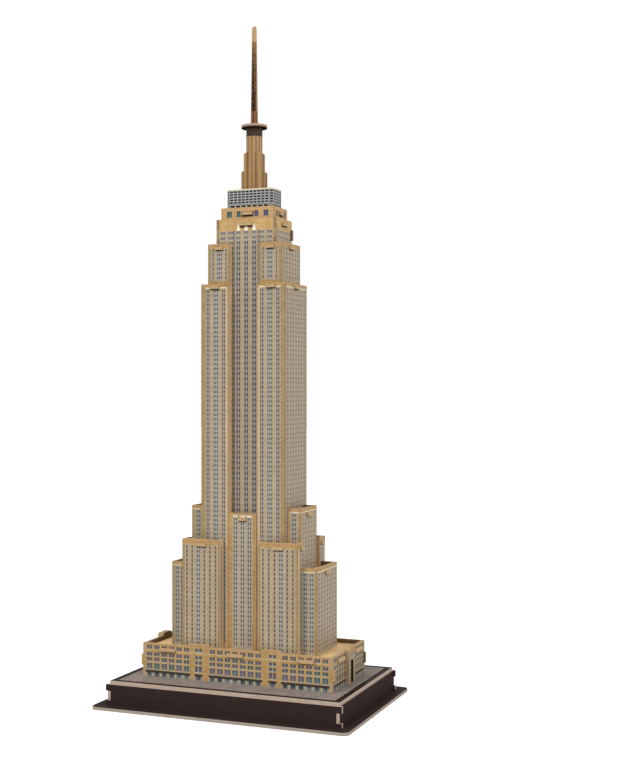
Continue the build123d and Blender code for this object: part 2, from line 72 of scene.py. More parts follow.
CAD_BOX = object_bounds()
print("frame:", len(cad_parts), "boards, height in mm:", round(CAD_BOX[1][2] / MM, 1))

# %% [markdown]
# Every wall takes its place from the box of the board it stands for, so nothing has to be fitted by eye.
# Lengths below are in millimetres, because a board maker thinks in millimetres, and they are turned to
# metres only when a mesh is filled.


# %% Read boxes in millimetres
def span(node):
    """x0, y0, z0, x1, y1, z1 of a board's box, in millimetres."""
    low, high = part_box(node)
    return [round(v / MM, 3) for v in (*low, *high)]


FLOOR = span("base_top_plate")[5]        # ground level of the podium
DECK = span("podium_roof")[5]            # the podium roof, on which the blocks stand
BOARD = round(DECK - span("podium_roof")[2], 3)
SLOT_PLAY = 0.1                          # room round a tab in its slot
print("board thickness", BOARD, "ground", FLOOR, "deck", DECK)

# %% [markdown]
# ## Camera, light and floor
#
# A product picture of a tall thin model is taken from far enough away that its verticals stay straight:
# the camera stands level with the middle of the tower and looks horizontally. The light is a white room
# with a soft key light high on the left and a softer fill on the right, so the print is seen without
# hard shadows, and the tabs still draw a faint line below them.

# %% Camera
CAMERA_DISTANCE = 1.03527
CAMERA_HEIGHT = 0.24354
CAMERA_TURN = math.radians(22.62)        # how far the camera stands to the right of the front
LENS = 62.71                             # on a 36 mm sensor
SHIFT = 0.0860                           # the object stands left of the middle of the frame

camera = bpy.data.objects.new("camera", bpy.data.cameras.new("camera"))
camera.location = (
    CAMERA_DISTANCE * math.sin(CAMERA_TURN),
    -CAMERA_DISTANCE * math.cos(CAMERA_TURN),
    CAMERA_HEIGHT,
)
camera.rotation_euler = (math.pi / 2, 0, CAMERA_TURN)
camera.data.lens = LENS
camera.data.sensor_width = 36
camera.data.shift_x = SHIFT
bpy.context.scene.collection.objects.link(camera)
bpy.context.scene.camera = camera
bpy.context.scene.view_settings.view_transform = "Standard"
print("camera at", [round(v, 3) for v in camera.location])

# %% [markdown]
# ## Tools for finishes
#
# A few helpers serve every finish: one turns an sRGB hex value to the linear numbers that shaders
# calculate with, one adds a node with its settings and links, and one makes an empty material. Two more
# write arithmetic and the mixing of colours briefly.


# %% Colour, node and material helpers
def linear(code):
    """An sRGB hex value as linear light: ((c + 0.055) / 1.055) ** 2.4, or c / 12.92 where c is dark."""
    c = np.array([int(code[i:i + 2], 16) for i in (1, 3, 5)]) / 255
    c = np.where(c <= 0.04045, c / 12.92, ((c + 0.055) / 1.055) ** 2.4)
    return (*c.tolist(), 1.0)


def add(tree, kind, inputs=(), **settings):
    """Add one node. Each input is a socket's name or number, with a value or the output linked to it."""
    node = tree.nodes.new(kind)
    for name, value in settings.items():
        setattr(node, name, value)
    for socket, value in dict(inputs).items():
        if isinstance(value, bpy.types.NodeSocket):
            tree.links.new(value, node.inputs[socket])
        else:
            node.inputs[socket].default_value = value
    return node


def blank(name):
    """An empty material with its shader, ready for colour, roughness and bump."""
    material = bpy.data.materials.new(name)
    material.use_nodes = True
    tree = material.node_tree
    shader = next(n for n in tree.nodes if n.type == "BSDF_PRINCIPLED")
    return material, tree, shader


def calc(tree, operation, a, b=0.0, c=0.0):
    """The result of one piece of arithmetic on numbers or outputs."""
    return add(tree, "ShaderNodeMath", {0: a, 1: b, 2: c}, operation=operation).outputs[0]


def blend(tree, factor, a, b, kind="MIX"):
    """Colour a where factor is 0 and colour b where it is 1, or their product for MULTIPLY."""
    inputs = {0: factor, 6: a, 7: b}
    return add(tree, "ShaderNodeMix", inputs, data_type="RGBA", blend_type=kind).outputs[2]


ROOM_LIGHT = 0.8                         # the room looks white, but lights the model a little less

world = bpy.data.worlds.new("white_room")
world.use_nodes = True
background = world.node_tree.nodes["Background"]
background.inputs["Color"].default_value = linear("#ffffff")
seen = add(world.node_tree, "ShaderNodeLightPath").outputs["Is Camera Ray"]
strength = calc(world.node_tree, "MULTIPLY_ADD", seen, 1.0 - ROOM_LIGHT, ROOM_LIGHT)
world.node_tree.links.new(strength, background.inputs["Strength"])
bpy.context.scene.world = world


def sunlight(name, turn, rise, strength, softness):
    """Even light from far away: turn is the bearing right of the front, and rise the height, in degrees."""
    light = bpy.data.lights.new(name, "SUN")
    light.energy, light.angle = strength, math.radians(softness)
    obj = bpy.data.objects.new(name, light)
    obj.rotation_euler = (math.radians(90 - rise), 0, math.radians(turn))
    bpy.context.scene.collection.objects.link(obj)


sunlight("key_light", -22, 45, 1.5, 18)
sunlight("fill_light", 70, 32, 1.1, 30)
print("white room, key light from the left, fill light from the right")

# %% [markdown]
# ## The print
#
# A laminated print on board has no relief: what shows is the ink, a fine paper grain, a slight mottling
# where the ink took unevenly, and the dull sheen of the film on top. `printed` gives any colour that
# surface. Real grain is about 0.1 mm, too fine to show here, so it is drawn at 0.7 mm.

# %% The surface every printed skin shares
GRAIN = 0.7 * MM
MOTTLE = 22 * MM
STREAK = 1.6 * MM


def printed(tree, shader, colour, rough=0.5, depth=1.0, gloss=0.25):
    """Lay ink on the board: colour times grain, mottling and faint upright streaks, with a paper bump."""
    place = add(tree, "ShaderNodeTexCoord").outputs["Object"]
    tall = add(tree, "ShaderNodeMapping", {"Vector": place, "Scale": (1.0, 1.0, 0.04)}).outputs[0]
    tone, patterns = 1.0, []
    for where, size, detail, swing in (
        (place, GRAIN, 2.0, 0.16), (place, MOTTLE, 3.0, 0.16), (tall, STREAK, 1.0, 0.18),
    ):
        noise = add(tree, "ShaderNodeTexNoise", {"Vector": where, "Scale": 1 / size, "Detail": detail})
        patterns.append(noise.outputs[0])
        level = calc(tree, "SUBTRACT", tone, swing * depth / 2)
        tone = calc(tree, "MULTIPLY_ADD", noise.outputs[0], swing * depth, level)
    grain, mottle = patterns[:2]
    inked = blend(tree, 1.0, colour, tone, "MULTIPLY")
    tree.links.new(inked, shader.inputs["Base Color"])
    dull = calc(tree, "MULTIPLY_ADD", mottle, 0.2, rough - 0.1)
    tree.links.new(dull, shader.inputs["Roughness"])
    bump = add(tree, "ShaderNodeBump", {"Height": grain, "Strength": 0.25, "Distance": 0.05 * MM})
    tree.links.new(bump.outputs[0], shader.inputs["Normal"])
    shader.inputs["IOR"].default_value = 1.5
    shader.inputs["Specular IOR Level"].default_value = gloss


def print_place(tree):
    """The two print coordinates: windows counted along the wall, and rows counted down it."""
    uv = add(tree, "ShaderNodeUVMap", uv_map="print").outputs[0]
    split = add(tree, "ShaderNodeSeparateXYZ", {0: uv})
    return split.outputs[0], split.outputs[1]


print("grain", GRAIN / MM, "mm, mottling", MOTTLE / MM, "mm")

# %% [markdown]
# ### Plain stone print
#
# Between the windows the skin shows pale limestone. On plain areas one unit of the print coordinates is
# one course of stone, so a brick texture draws the blocks: each gets its own shade and a thin dark joint.
# The same recipe in other colours gives the golden bands, the corner stones and the brown returns.

# %% Stone finishes
FINISH = {}
COURSE = 3.5                             # height of a storey on the walls, in millimetres


def stone(key, name, light, dark, joint, rough=0.5, depth=1.0):
    """Blocks 0.8 of a storey wide and half a storey high, each between a light and a dark shade."""
    material, tree, shader = blank(name)
    uv = add(tree, "ShaderNodeUVMap", uv_map="print").outputs[0]
    blocks = add(tree, "ShaderNodeTexBrick", {
        "Vector": uv, "Color1": linear(light), "Color2": linear(dark), "Mortar": linear(joint),
        "Scale": 1.0, "Mortar Size": 0.035, "Mortar Smooth": 0.3, "Brick Width": 0.8, "Row Height": 0.5,
    })
    printed(tree, shader, blocks.outputs[0], rough, depth)
    FINISH[key] = material


stone("limestone", "printed_card_limestone", "#af9d80", "#a39073", "#8c7b61")
stone("pink_stone", "printed_card_warm_limestone", "#c4a888", "#b79c7d", "#9f866a")
stone("pale_stone", "printed_card_pale_limestone", "#ada08c", "#a1937f", "#8a7d69")
stone("grey_stone", "printed_card_grey_limestone", "#a59a88", "#988d7c", "#837868")
stone("quoin", "printed_card_corner_stones", "#a08963", "#937c56", "#7d6845")
stone("ochre", "printed_card_golden_band", "#b39161", "#a38252", "#886b40", depth=1.6)
stone("lookout_ochre", "printed_card_speckled_band", "#c2a06c", "#b3905c", "#9a7a4a", depth=2.4)
stone("lantern_ochre", "printed_card_orange_band", "#c09a6b", "#b38e61", "#9b774b", depth=1.6)
stone("return_brown", "printed_card_brown_return", "#d0b48a", "#c2a77d", "#a78d65")
stone("cream", "printed_card_cream_moulding", "#ddd3b4", "#d0c4a2", "#b5a784", depth=0.6)
stone("podium_stone", "printed_card_podium_stone", "#b3925f", "#a58552", "#8a6c3e", depth=1.4)
stone("podium_side", "printed_card_podium_side_stone", "#9c8962", "#8e7b56", "#746240", depth=1.4)
stone("fascia", "printed_card_dark_fascia", "#403b3a", "#332f33", "#272323", rough=0.5)
# A brown strip along every fold: painted shade where the board turns its corner.
stone("crease", "printed_card_painted_fold_shade", "#967c57", "#8b724e", "#77603f")
# Grey strips for the edges of the recess: painted shade beside the pylons' returns.
stone("shade", "printed_card_shaded_strip", "#79756b", "#6d6960", "#5d5a52")
# A dark brown band laid round a roof tab's slot: painted shadow of the tab.
stone("frame", "printed_card_painted_tab_shadow", "#65533c", "#574732", "#463826")
stone("crown_grey", "printed_card_crown_grey", "#878580", "#7b7974", "#64625f")
print(len(FINISH), "stone finishes")

# %% [markdown]
# ### Window print
#
# Each column of windows is the same small drawing repeated every storey: lintel, dark glass under a
# shadow, pale sill, spandrel panel. Print coordinates count windows along the wall and storeys down it,
# so their fractions are a place inside one window, and their whole parts are that window's number. A
# white noise on the number gives every pane its own tint, as on a real facade.


# %% Window finishes
def windows(key, name, wall, bar, column, glass, tints, reach=0.5, bars=((0.0, 0.06),), rough=0.45):
    """Draw one window per unit of the print coordinates.

    column: pairs of distance down the storey and the colour that starts there. glass: the part of the
    storey that is glass, tinted between two colours, with painted shade at its head and a painted
    reflection
    that lightens it towards its foot. reach: half the width of the opening, with wall colour beyond.
    bars: distance from the middle and half width of each upright bar.
    """
    material, tree, shader = blank(name)
    along, down = print_place(tree)
    inside = calc(tree, "FRACT", down)
    number = add(tree, "ShaderNodeCombineXYZ", {
        0: calc(tree, "FLOOR", along), 1: calc(tree, "FLOOR", down)}).outputs[0]
    chance = add(tree, "ShaderNodeTexWhiteNoise", {"Vector": number}, noise_dimensions="3D").outputs[0]
    ramp = add(tree, "ShaderNodeValToRGB", {0: inside})
    ramp.color_ramp.interpolation = "CONSTANT"
    for k, (start, code) in enumerate(column):
        stop = ramp.color_ramp.elements[k] if k < 2 else ramp.color_ramp.elements.new(start)
        stop.position, stop.color = start, linear(code)
    middle, half = (glass[0] + glass[1]) / 2, (glass[1] - glass[0]) / 2
    off = calc(tree, "ABSOLUTE", calc(tree, "SUBTRACT", inside, middle))
    is_glass = calc(tree, "LESS_THAN", off, half)
    pane = blend(tree, chance, linear(tints[0]), linear(tints[1]))
    # The glass runs from 0.62 of its tint at the head to 1.12 at the foot: painted shade under the lintel
    # and a painted reflection below.
    painted_shade_reflection_ramp = calc(tree, "DIVIDE", calc(tree, "SUBTRACT", inside, glass[0]), 2 * half)
    pane = blend(tree, 1.0, pane, calc(tree, "MULTIPLY_ADD", painted_shade_reflection_ramp, 0.5, 0.62), "MULTIPLY")
    colour = blend(tree, is_glass, ramp.outputs[0], pane)
    away = calc(tree, "ABSOLUTE", calc(tree, "SUBTRACT", calc(tree, "FRACT", along), 0.5))
    for at, half_bar in bars:
        near = calc(tree, "ABSOLUTE", calc(tree, "SUBTRACT", away, at))
        colour = blend(tree, calc(tree, "LESS_THAN", near, half_bar), colour, linear(bar))
    colour = blend(tree, calc(tree, "GREATER_THAN", away, reach), colour, linear(wall))
    printed(tree, shader, colour, rough, 0.7)
    FINISH[key] = material


def storey(lintel, head, pane, sill, panel, glass=(0.17, 0.60)):
    """The five colours of one storey from the top down, and the part of it that is glass. The head colour
    is painted shadow just above the glass.
    """
    top, low = glass
    stops = ((0.0, lintel), (top - 0.06, head), (top, pane), (low, sill), (low + 0.08, panel))
    return stops, glass


windows("tower_windows", "printed_card_tower_windows", "#ac9d84", "#9f9382",
        *storey("#7b7369", "#38332f", "#555150", "#978e80", "#7d756b"),
        ("#55514e", "#635c63"), reach=0.47, bars=((0.42, 0.09),))
windows("wide_windows", "printed_card_wide_windows", "#a69b8a", "#a09a8f",
        *storey("#85827c", "#322f2c", "#54585a", "#a9a59a", "#85847f"),
        ("#535a58", "#5b5861"), reach=0.48, bars=((0.42, 0.09),))
windows("side_windows", "printed_card_side_windows", "#a5937a", "#9c8e7a",
        *storey("#90857a", "#453e37", "#675f57", "#a69985", "#8d8277"),
        ("#675f56", "#6f6663"), reach=0.46, bars=((0.0, 0.07), (0.46, 0.03)))
windows("recess_windows", "printed_card_recess_windows", "#a39885", "#978f83",
        *storey("#7c766d", "#2b2725", "#464342", "#9b9386", "#77716a", (0.16, 0.60)),
        ("#464548", "#54505c"), reach=0.47, bars=((0.42, 0.09),))
windows("wing_windows", "printed_card_wing_windows", "#ab9677", "#93846d",
        *storey("#857a6b", "#3a352f", "#55504b", "#a6977e", "#7f7568", (0.16, 0.66)),
        ("#4f5652", "#625457"), reach=0.36, bars=((0.36, 0.05),))
windows("bay_windows", "printed_card_bay_windows", "#ada18d", "#a89f90",
        *storey("#888075", "#37332f", "#514d49", "#a9a08e", "#837b71"),
        ("#52504e", "#55605d"), reach=0.46, bars=((0.42, 0.09),))
windows("lookout_windows", "printed_card_lookout_windows", "#ab9c85", "#9a9287",
        *storey("#a3967f", "#47433f", "#5e625f", "#bfb49c", "#9f927d", (0.22, 0.70)),
        ("#5d655e", "#6a6379"), reach=0.44, bars=((0.0, 0.06), (0.44, 0.04)))
print(len(FINISH), "finishes so far")

# %% [markdown]
# The podium's windows are larger and more colourful: violet, blue and green glass between golden piers,
# with a pale sill to each. The shop fronts at street level stand between pale posts.

# %% Podium, lantern and crown prints
windows("attic_windows", "printed_card_attic_windows", "#b1905c", "#857b72",
        ((0.0, "#51463b"), (0.10, "#57504f"), (0.92, "#a8935f"), (0.97, "#a8935f")), (0.10, 0.92),
        ("#4b4747", "#5d5360"), reach=0.36, bars=((0.0, 0.05), (0.17, 0.02), (0.36, 0.02)))
windows("podium_windows", "printed_card_podium_windows", "#ae8c56", "#94897b",
        ((0.0, "#5a4a38"), (0.08, "#6b6468"), (0.84, "#b8aa8e"), (0.94, "#ae8c56")), (0.08, 0.84),
        ("#485e5b", "#615462"), reach=0.38, bars=((0.0, 0.035), (0.38, 0.02)))
windows("tall_windows", "printed_card_tall_windows", "#ae8c56", "#94897b",
        ((0.0, "#b8aa8e"), (0.08, "#6b6468"), (0.88, "#b8aa8e"), (0.97, "#a8935f")), (0.08, 0.88),
        ("#4e6665", "#685e70"), reach=0.38, bars=((0.0, 0.035), (0.38, 0.02)))
windows("pair_windows", "printed_card_narrow_bay_windows", "#b18e4f", "#a69a84",
        ((0.0, "#5a4a38"), (0.08, "#6b6468"), (0.82, "#bfb298"), (0.93, "#b18e4f")), (0.08, 0.82),
        ("#545a66", "#5f5a66"), reach=0.46, bars=((0.0, 0.05), (0.46, 0.03)))
windows("shop_fronts", "printed_card_shop_fronts", "#beb291", "#b1a788",
        ((0.0, "#2e2c2d"), (0.16, "#5f707c"), (0.94, "#7b7469"), (0.98, "#7b7469")), (0.16, 0.94),
        ("#33454b", "#70787e"), reach=0.42, bars=((0.30, 0.03),), rough=0.4)
windows("side_rows", "printed_card_podium_side_windows", "#9a8660", "#82786a",
        ((0.0, "#54462f"), (0.10, "#5a5450"), (0.84, "#b0a182"), (0.94, "#9a8660")), (0.10, 0.84),
        ("#55554b", "#625558"), reach=0.34, bars=((0.0, 0.04),))
for hue, tints in (("teal", ("#34544f", "#3e5d58")), ("violet", ("#474562", "#514a6b")),
                   ("grey", ("#5d4f3f", "#685946"))):
    windows(f"lantern_{hue}", f"printed_card_{hue}_window", "#b8925f", "#76746f",
            ((0.0, "#4f4435"), (0.12, tints[0]), (0.93, "#c9ba96"), (0.97, "#c9ba96")), (0.12, 0.93),
            tints, reach=0.49, bars=((0.0, 0.03), (0.49, 0.05)))
windows("crown_dots", "printed_card_crown_openings", "#98968f", "#b4b2ac",
        ((0.0, "#8b898f"), (0.10, "#0b090e"), (0.72, "#bcbab5"), (0.84, "#8b898f")), (0.10, 0.72),
        ("#0b090e", "#191622"), reach=0.37, bars=((0.41, 0.04),))
windows("crown_arches", "printed_card_crown_arches", "#9b988e", "#9b988e",
        ((0.0, "#9b988e"), (0.16, "#0d0b0f"), (0.96, "#a39373"), (0.98, "#a39373")), (0.16, 0.96),
        ("#0d0b0f", "#17141a"), reach=0.36, bars=())
print(len(FINISH), "finishes in all")

# %% [markdown]
# Three pale pointed caps finish the middle windows of the lookout. Each is a triangle: at a distance
# down the drawing, it is as wide as that distance.

# %% Pointed caps, doorway, foam and board back
material, tree, shader = blank("printed_card_pointed_cap")
along, down = print_place(tree)
away = calc(tree, "ABSOLUTE", calc(tree, "SUBTRACT", calc(tree, "FRACT", along), 0.5))
inside = calc(tree, "LESS_THAN", calc(tree, "MULTIPLY", away, 2.0), calc(tree, "FRACT", down))
printed(tree, shader, blend(tree, inside, linear("#b8945f"), linear("#e6e0c8")), 0.5)
FINISH["cap"] = material

# Dark doorway print, also laid on the door's cut edges as painted shade.
stone("doorway", "printed_card_dark_doorway_and_jamb_shade", "#2a241f", "#1f1a17", "#15110f", rough=0.35)
FOAM_CELL = 0.5 * MM
CRUSHED = 3 * MM                         # size of a crushed patch


def foam(key, name, light, dark):
    """Cut foam: open cells about 0.1 mm across, drawn at 0.5 mm, and soft darker crushed patches."""
    material, tree, shader = blank(name)
    place = add(tree, "ShaderNodeTexCoord").outputs["Object"]
    cells = add(tree, "ShaderNodeTexVoronoi", {"Vector": place, "Scale": 1 / FOAM_CELL}).outputs[0]
    crush = add(tree, "ShaderNodeTexNoise", {"Vector": place, "Scale": 1 / CRUSHED, "Detail": 3.0})
    colour = blend(tree, crush.outputs[0], linear(light), linear(dark))
    colour = blend(tree, 0.22, colour, cells, "MULTIPLY")
    tree.links.new(colour, shader.inputs["Base Color"])
    bump = add(tree, "ShaderNodeBump", {"Height": cells, "Strength": 0.5, "Distance": 0.1 * MM})
    tree.links.new(bump.outputs[0], shader.inputs["Normal"])
    shader.inputs["Roughness"].default_value = 0.9
    shader.inputs["IOR"].default_value = 1.5
    FINISH[key] = material


foam("foam", "cut_foam_core", "#b89b76", "#a38660")
# A darker foam for the cut edges of the core's side walls.
foam("dark_foam", "cut_foam_core_darker", "#977b59", "#83694a")
foam("pink_foam", "cut_foam_core_podium", "#bb9f7c", "#a38763")
stone("back", "brown_card_back", "#6d5638", "#5f4a30", "#503d27", rough=0.6)
print("foam cells drawn at", FOAM_CELL / MM, "mm")

# %% [markdown]
# ## Folded sheets
#
# A printed wall is one flat board, cut out with its tabs and slots, scored and folded. That is also the
# easiest way to make it: draw it flat on a grid of cuts, then bend the grid along a path in plan. The
# outer skin follows the path. The inner skin lies one board's thickness inside, mitred at each fold. Where
# a filled cell has an empty neighbour, a strip of foam joins the two skins, so the sheet is closed.


# %% The plan of a folded board
def plan_lines(path, board, closed):
    """Distances along a path with the outer and the inner face's points there.

    A line set in by the board's thickness meets its neighbour short of the outer corner, by the
    thickness times the tangent of half the turn. Away from its ends a run keeps its own distances.
    """
    points = np.array(path, float)
    step = np.diff(points, axis=0)
    length = np.hypot(step[:, 0], step[:, 1])
    along = step / length[:, None]
    outward = np.stack([along[:, 1], -along[:, 0]], 1)
    after = np.roll(along, -1, axis=0)
    turn = np.arctan2(along[:, 0] * after[:, 1] - along[:, 1] * after[:, 0], (along * after).sum(1))
    end_cut = board * np.tan(turn / 2)
    if not closed:
        end_cut[-1] = 0.0
    start_cut = np.roll(end_cut, 1)
    near = np.minimum(2 * board, length / 2)
    long = length >= 4 * board
    shrink = (length - start_cut - end_cut) / length
    t_out = np.stack([0 * length, near, length - near], 1)
    t_in = np.stack([
        start_cut,
        np.where(long, near, start_cut + shrink * near),
        np.where(long, length - near, start_cut + shrink * (length - near)),
    ], 1)
    starts = np.concatenate([[0.0], np.cumsum(length)])
    inner = points[:-1, None] + along[:, None] * t_in[..., None] - board * outward[:, None]
    last = points[-1] - along[-1] * end_cut[-1] - board * outward[-1]
    knots = np.append((starts[:-1, None] + t_out).ravel(), starts[-1])
    return starts, points, knots, np.vstack([inner.reshape(-1, 2), last])


# %% From a flat drawing to a closed mesh
SIDES = {
    "outer": ((0, 0, 0), (1, 0, 0), (1, 1, 0), (0, 1, 0)),
    "inner": ((0, 0, 1), (0, 1, 1), (1, 1, 1), (1, 0, 1)),
    "left": ((0, 0, 0), (0, 1, 0), (0, 1, 1), (0, 0, 1)),
    "right": ((1, 0, 0), (1, 0, 1), (1, 1, 1), (1, 1, 0)),
    "bottom": ((0, 0, 0), (0, 0, 1), (1, 0, 1), (1, 0, 0)),
    "top": ((0, 1, 0), (1, 1, 0), (1, 1, 1), (0, 1, 1)),
}


def inside_any(rects, s, z):
    """True for each grid cell whose centre lies in one of the rectangles (s0, s1, z0, z1)."""
    found = np.zeros((len(s), len(z)), bool)
    for s0, s1, z0, z1 in rects:
        found |= ((s > s0) & (s < s1))[:, None] & ((z > z0) & (z < z1))[None, :]
    return found


def cell_prints(layers, s, z, number):
    """Finish number and print mapping of each cell: u = a + b * s and v = c + d * z. Later layers cover."""
    keys = ["limestone"]
    which = np.zeros((len(s), len(z)), int)
    maps = np.zeros((4, len(s), len(z)))
    maps[1] = maps[3] = 1 / COURSE
    for k, (key, s0, s1, z0, z1, across, down) in enumerate(layers):
        if key not in keys:
            keys.append(key)
        inside = inside_any([(s0, s1, z0, z1)], s, z)
        which[inside] = keys.index(key)
        b, d = (across / (s1 - s0), -down / (z1 - z0)) if across else (1 / COURSE, 1 / COURSE)
        a, c = (64.0 * k + 8.0 * number - b * s0, -d * z1) if across else (0.0, 0.0)
        for n, value in enumerate((a, b, c, d)):
            maps[n][inside] = value
    return keys, which, maps


def fill_mesh(name, points, faces, uvs, numbers, keys):
    """A mesh object from arrays, with a print UV map and one material slot for each finish in use."""
    used = np.unique(faces)
    mesh = bpy.data.meshes.new(name)
    mesh.from_pydata((points[used] * MM).tolist(), [], np.searchsorted(used, faces).tolist())
    mesh.uv_layers.new(name="print").data.foreach_set("uv", uvs.ravel())
    for key in keys:
        mesh.materials.append(FINISH[key])
    mesh.polygons.foreach_set("material_index", numbers)
    mesh.update()
    obj = bpy.data.objects.new(name, mesh)
    bpy.context.scene.collection.objects.link(obj)
    return obj


SHEETS = []
FOLD_SHADE_HALF = 0.45                       # half width of the painted shade along a fold
PRESSED_EDGE = 0.16                      # rounding that the cutting die leaves on an edge


def sheet(name, slot, path, spans, holes=(), layers=(), closed=False, board=None, edge="foam",
          head=None, flip=(1, 1), crease=True, jamb=None):
    """Fold a flat board along a plan path and let it stand for the CAD node of the same name.

    spans are the rectangles (s0, s1, z0, z1) the board fills, tabs included, and holes are cut out of
    them. layers paint the outer skin. head lowers the top edge by a curve, flip mirrors in x or y, and
    cut edges inside the rectangle jamb take the dark doorway finish instead of foam, as painted shade.
    """
    board = board or BOARD
    starts, corners, knots, inner = plan_lines(path, board, closed)
    folds = starts[1:-1] if not closed else starts[:-1]
    z_low, z_high = min(r[2] for r in spans), max(r[3] for r in spans)
    layers = list(layers)
    # Every fold gets a narrow strip of painted shade, unless the sheet turns it off.
    if crease:
        layers += [("crease", f - FOLD_SHADE_HALF, f + FOLD_SHADE_HALF, z_low, z_high, 0, 0)
                   for f in folds if f > 0]
    rects = [*spans, *holes, *[r[1:5] for r in layers]]
    s_low = 0.0 if closed else min(r[0] for r in spans)
    s_high = starts[-1] if closed else max(r[1] for r in spans)
    s_cuts = np.concatenate([[v for r in rects for v in r[:2]], starts, [] if head is None else head[0]])
    z_cuts = np.array([v for r in rects for v in r[2:]])
    s_cuts = np.unique(np.round(np.clip(s_cuts, s_low, s_high), 3))
    z_cuts = np.unique(np.round(np.clip(z_cuts, z_low, z_high), 3))
    s_mid, z_mid = (s_cuts[1:] + s_cuts[:-1]) / 2, (z_cuts[1:] + z_cuts[:-1]) / 2
    filled = inside_any(spans, s_mid, z_mid) & ~inside_any(holes, s_mid, z_mid)
    keys, which, maps = cell_prints(layers, s_mid, z_mid, len(SHEETS))
    keys += [edge, "doorway", "back"]

    outer_xy = [np.interp(s_cuts, starts, corners[:, n]) for n in (0, 1)]
    inner_xy = [np.interp(s_cuts, knots, inner[:, n]) for n in (0, 1)]
    columns = len(s_cuts) - 1 if closed else len(s_cuts)
    rows = len(z_cuts)
    heights = np.broadcast_to(z_cuts, (len(s_cuts), rows))
    if head is not None:
        heights = np.minimum(heights, np.interp(s_cuts, *head)[:, None])
    grid = np.array([
        np.stack([*(np.broadcast_to(v[:, None], heights.shape) for v in xy), heights], 2)[:columns]
        for xy in (outer_xy, inner_xy)
    ])
    points = grid.reshape(-1, 3)

    def beside(shift, axis):
        """The filled mask of each cell's neighbour; a closed wall goes on past its last cut."""
        moved = np.roll(filled, shift, axis)
        if axis == 1 or not closed:
            edge_row = 0 if shift > 0 else -1
            moved[(edge_row,) if axis == 0 else (slice(None), edge_row)] = False
        return moved

    shown = {
        "outer": filled, "inner": filled,
        "left": filled & ~beside(1, 0), "right": filled & ~beside(-1, 0),
        "bottom": filled & ~beside(1, 1), "top": filled & ~beside(-1, 1),
    }
    faces, uvs, numbers = [], [], []
    for side, where in shown.items():
        i, j = np.nonzero(where)
        di, dj, skin = np.array(SIDES[side]).T
        ci, cj = i[:, None] + di, j[:, None] + dj
        faces.append(skin * columns * rows + (ci % columns) * rows + cj)
        a, b, c, d = maps[:, i, j][:, :, None] if side == "outer" else (0, 1 / COURSE, 0, 1 / COURSE)
        uvs.append(np.stack([a + b * s_cuts[ci], c + d * z_cuts[cj]], 2))
        plain = np.full(len(i), len(keys) - (1 if side == "inner" else 3))
        # Cut edges inside jamb take the dark doorway finish instead of foam: painted shade in the opening.
        if jamb is not None and side != "inner":
            plain[inside_any([jamb], s_mid, z_mid)[i, j]] = len(keys) - 2
        numbers.append(which[i, j] if side == "outer" else plain)
    faces, uvs, numbers = np.concatenate(faces), np.concatenate(uvs), np.concatenate(numbers)
    points = points * (*flip, 1)
    if flip[0] * flip[1] < 0:
        faces, uvs = faces[:, ::-1], uvs[:, ::-1]
    obj = fill_mesh("printed_" + name, points, faces, uvs, numbers, keys)
    soften = obj.modifiers.new("pressed_edges", "BEVEL")
    soften.width, soften.segments, soften.limit_method = PRESSED_EDGE * MM, 2, "ANGLE"
    soften.angle_limit = math.radians(40)
    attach(obj, "root")
    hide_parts(name)
    box = np.array([points[np.unique(faces)].min(0), points[np.unique(faces)].max(0)]).ravel()
    off = np.abs(box - np.array(span(name))).max()
    SHEETS.append(obj)
    print(f"{name}: {len(faces)} faces, box within {off:.2f} mm of its board")
    return obj


# %% [markdown]
# Walls are described by what a printer would say: strips of windows, bands across the whole face, and
# solid corner stones. These helpers write such a list. A face on a folded sheet starts at some distance
# along it, so a list drawn in the face's own x or y is moved by that distance, and the back of a
# symmetrical sheet is the front's list read the other way.


# %% Helpers that write a wall's layers
def strip(key, middles, width, z, across=2, storey=COURSE):
    """A column of windows on each middle line, filled with whole storeys from the top down."""
    rows = round((z[1] - z[0]) / storey)
    return [(key, m - width / 2, m + width / 2, z[0], z[1], across, rows) for m in middles]


def band(key, s, z, across=0, down=1):
    """One rectangle of a finish: plain when across is 0, else with that many windows along it."""
    return [(key, s[0], s[1], z[0], z[1], across, down)]


def moved(layers, by):
    """The same layers further along the sheet."""
    return [(k, s0 + by, s1 + by, *rest) for k, s0, s1, *rest in layers]


def turned(layers, total):
    """The same layers read from the other end of a sheet of that length."""
    return [(k, total - s1, total - s0, *rest) for k, s0, s1, *rest in layers]


def slots(middles, half, z, sag=0.7):
    """Slots with play all round, on each middle line. Punched slots are too tall: sag is the gap below."""
    return [(m - half - SLOT_PLAY, m + half + SLOT_PLAY, z[0] - sag, z[1] + SLOT_PLAY) for m in middles]


def shifted(rects, by):
    """The same rectangles further along the sheet."""
    return [(s0 + by, s1 + by, low, high) for s0, s1, low, high in rects]


def from_far_end(rects, total):
    """The same rectangles measured from the other end of a sheet of that length."""
    return [(total - s1, total - s0, low, high) for s0, s1, low, high in rects]


def right_and_left(name, *drawing, flip_y=1, **options):
    """Fold one drawing for the right and, mirrored, for the left: {} in the name is the side."""
    for side_name, flip_x in (("right", 1), ("left", -1)):
        sheet(name.format(side_name), "facade_board", *drawing, flip=(flip_x, flip_y), **options)


def front_and_back(name, *drawing, **options):
    """Fold one drawing for the front and, mirrored, for the back: {} in the name is the end."""
    for end, flip_y in (("front", 1), ("back", -1)):
        sheet(name.format(end), "facade_board", *drawing, flip=(1, flip_y), **options)


def thick(node):
    """Lowest and highest height of a flat board."""
    box = span(node)
    return box[2], box[5]


EVERY_SIX = [-18.0, -12.0, -6.0, 0.0, 6.0, 12.0, 18.0]   # columns of windows on the short ends

# %% [markdown]
# ## Tower and upper shells
#
# Each half of the tower is one board folded five times: a return that meets the core, a front pylon, the
# side, a back pylon and the other return. The pylon has a narrow, a wide and another narrow column of
# windows, and its outer corner shows solid stones.

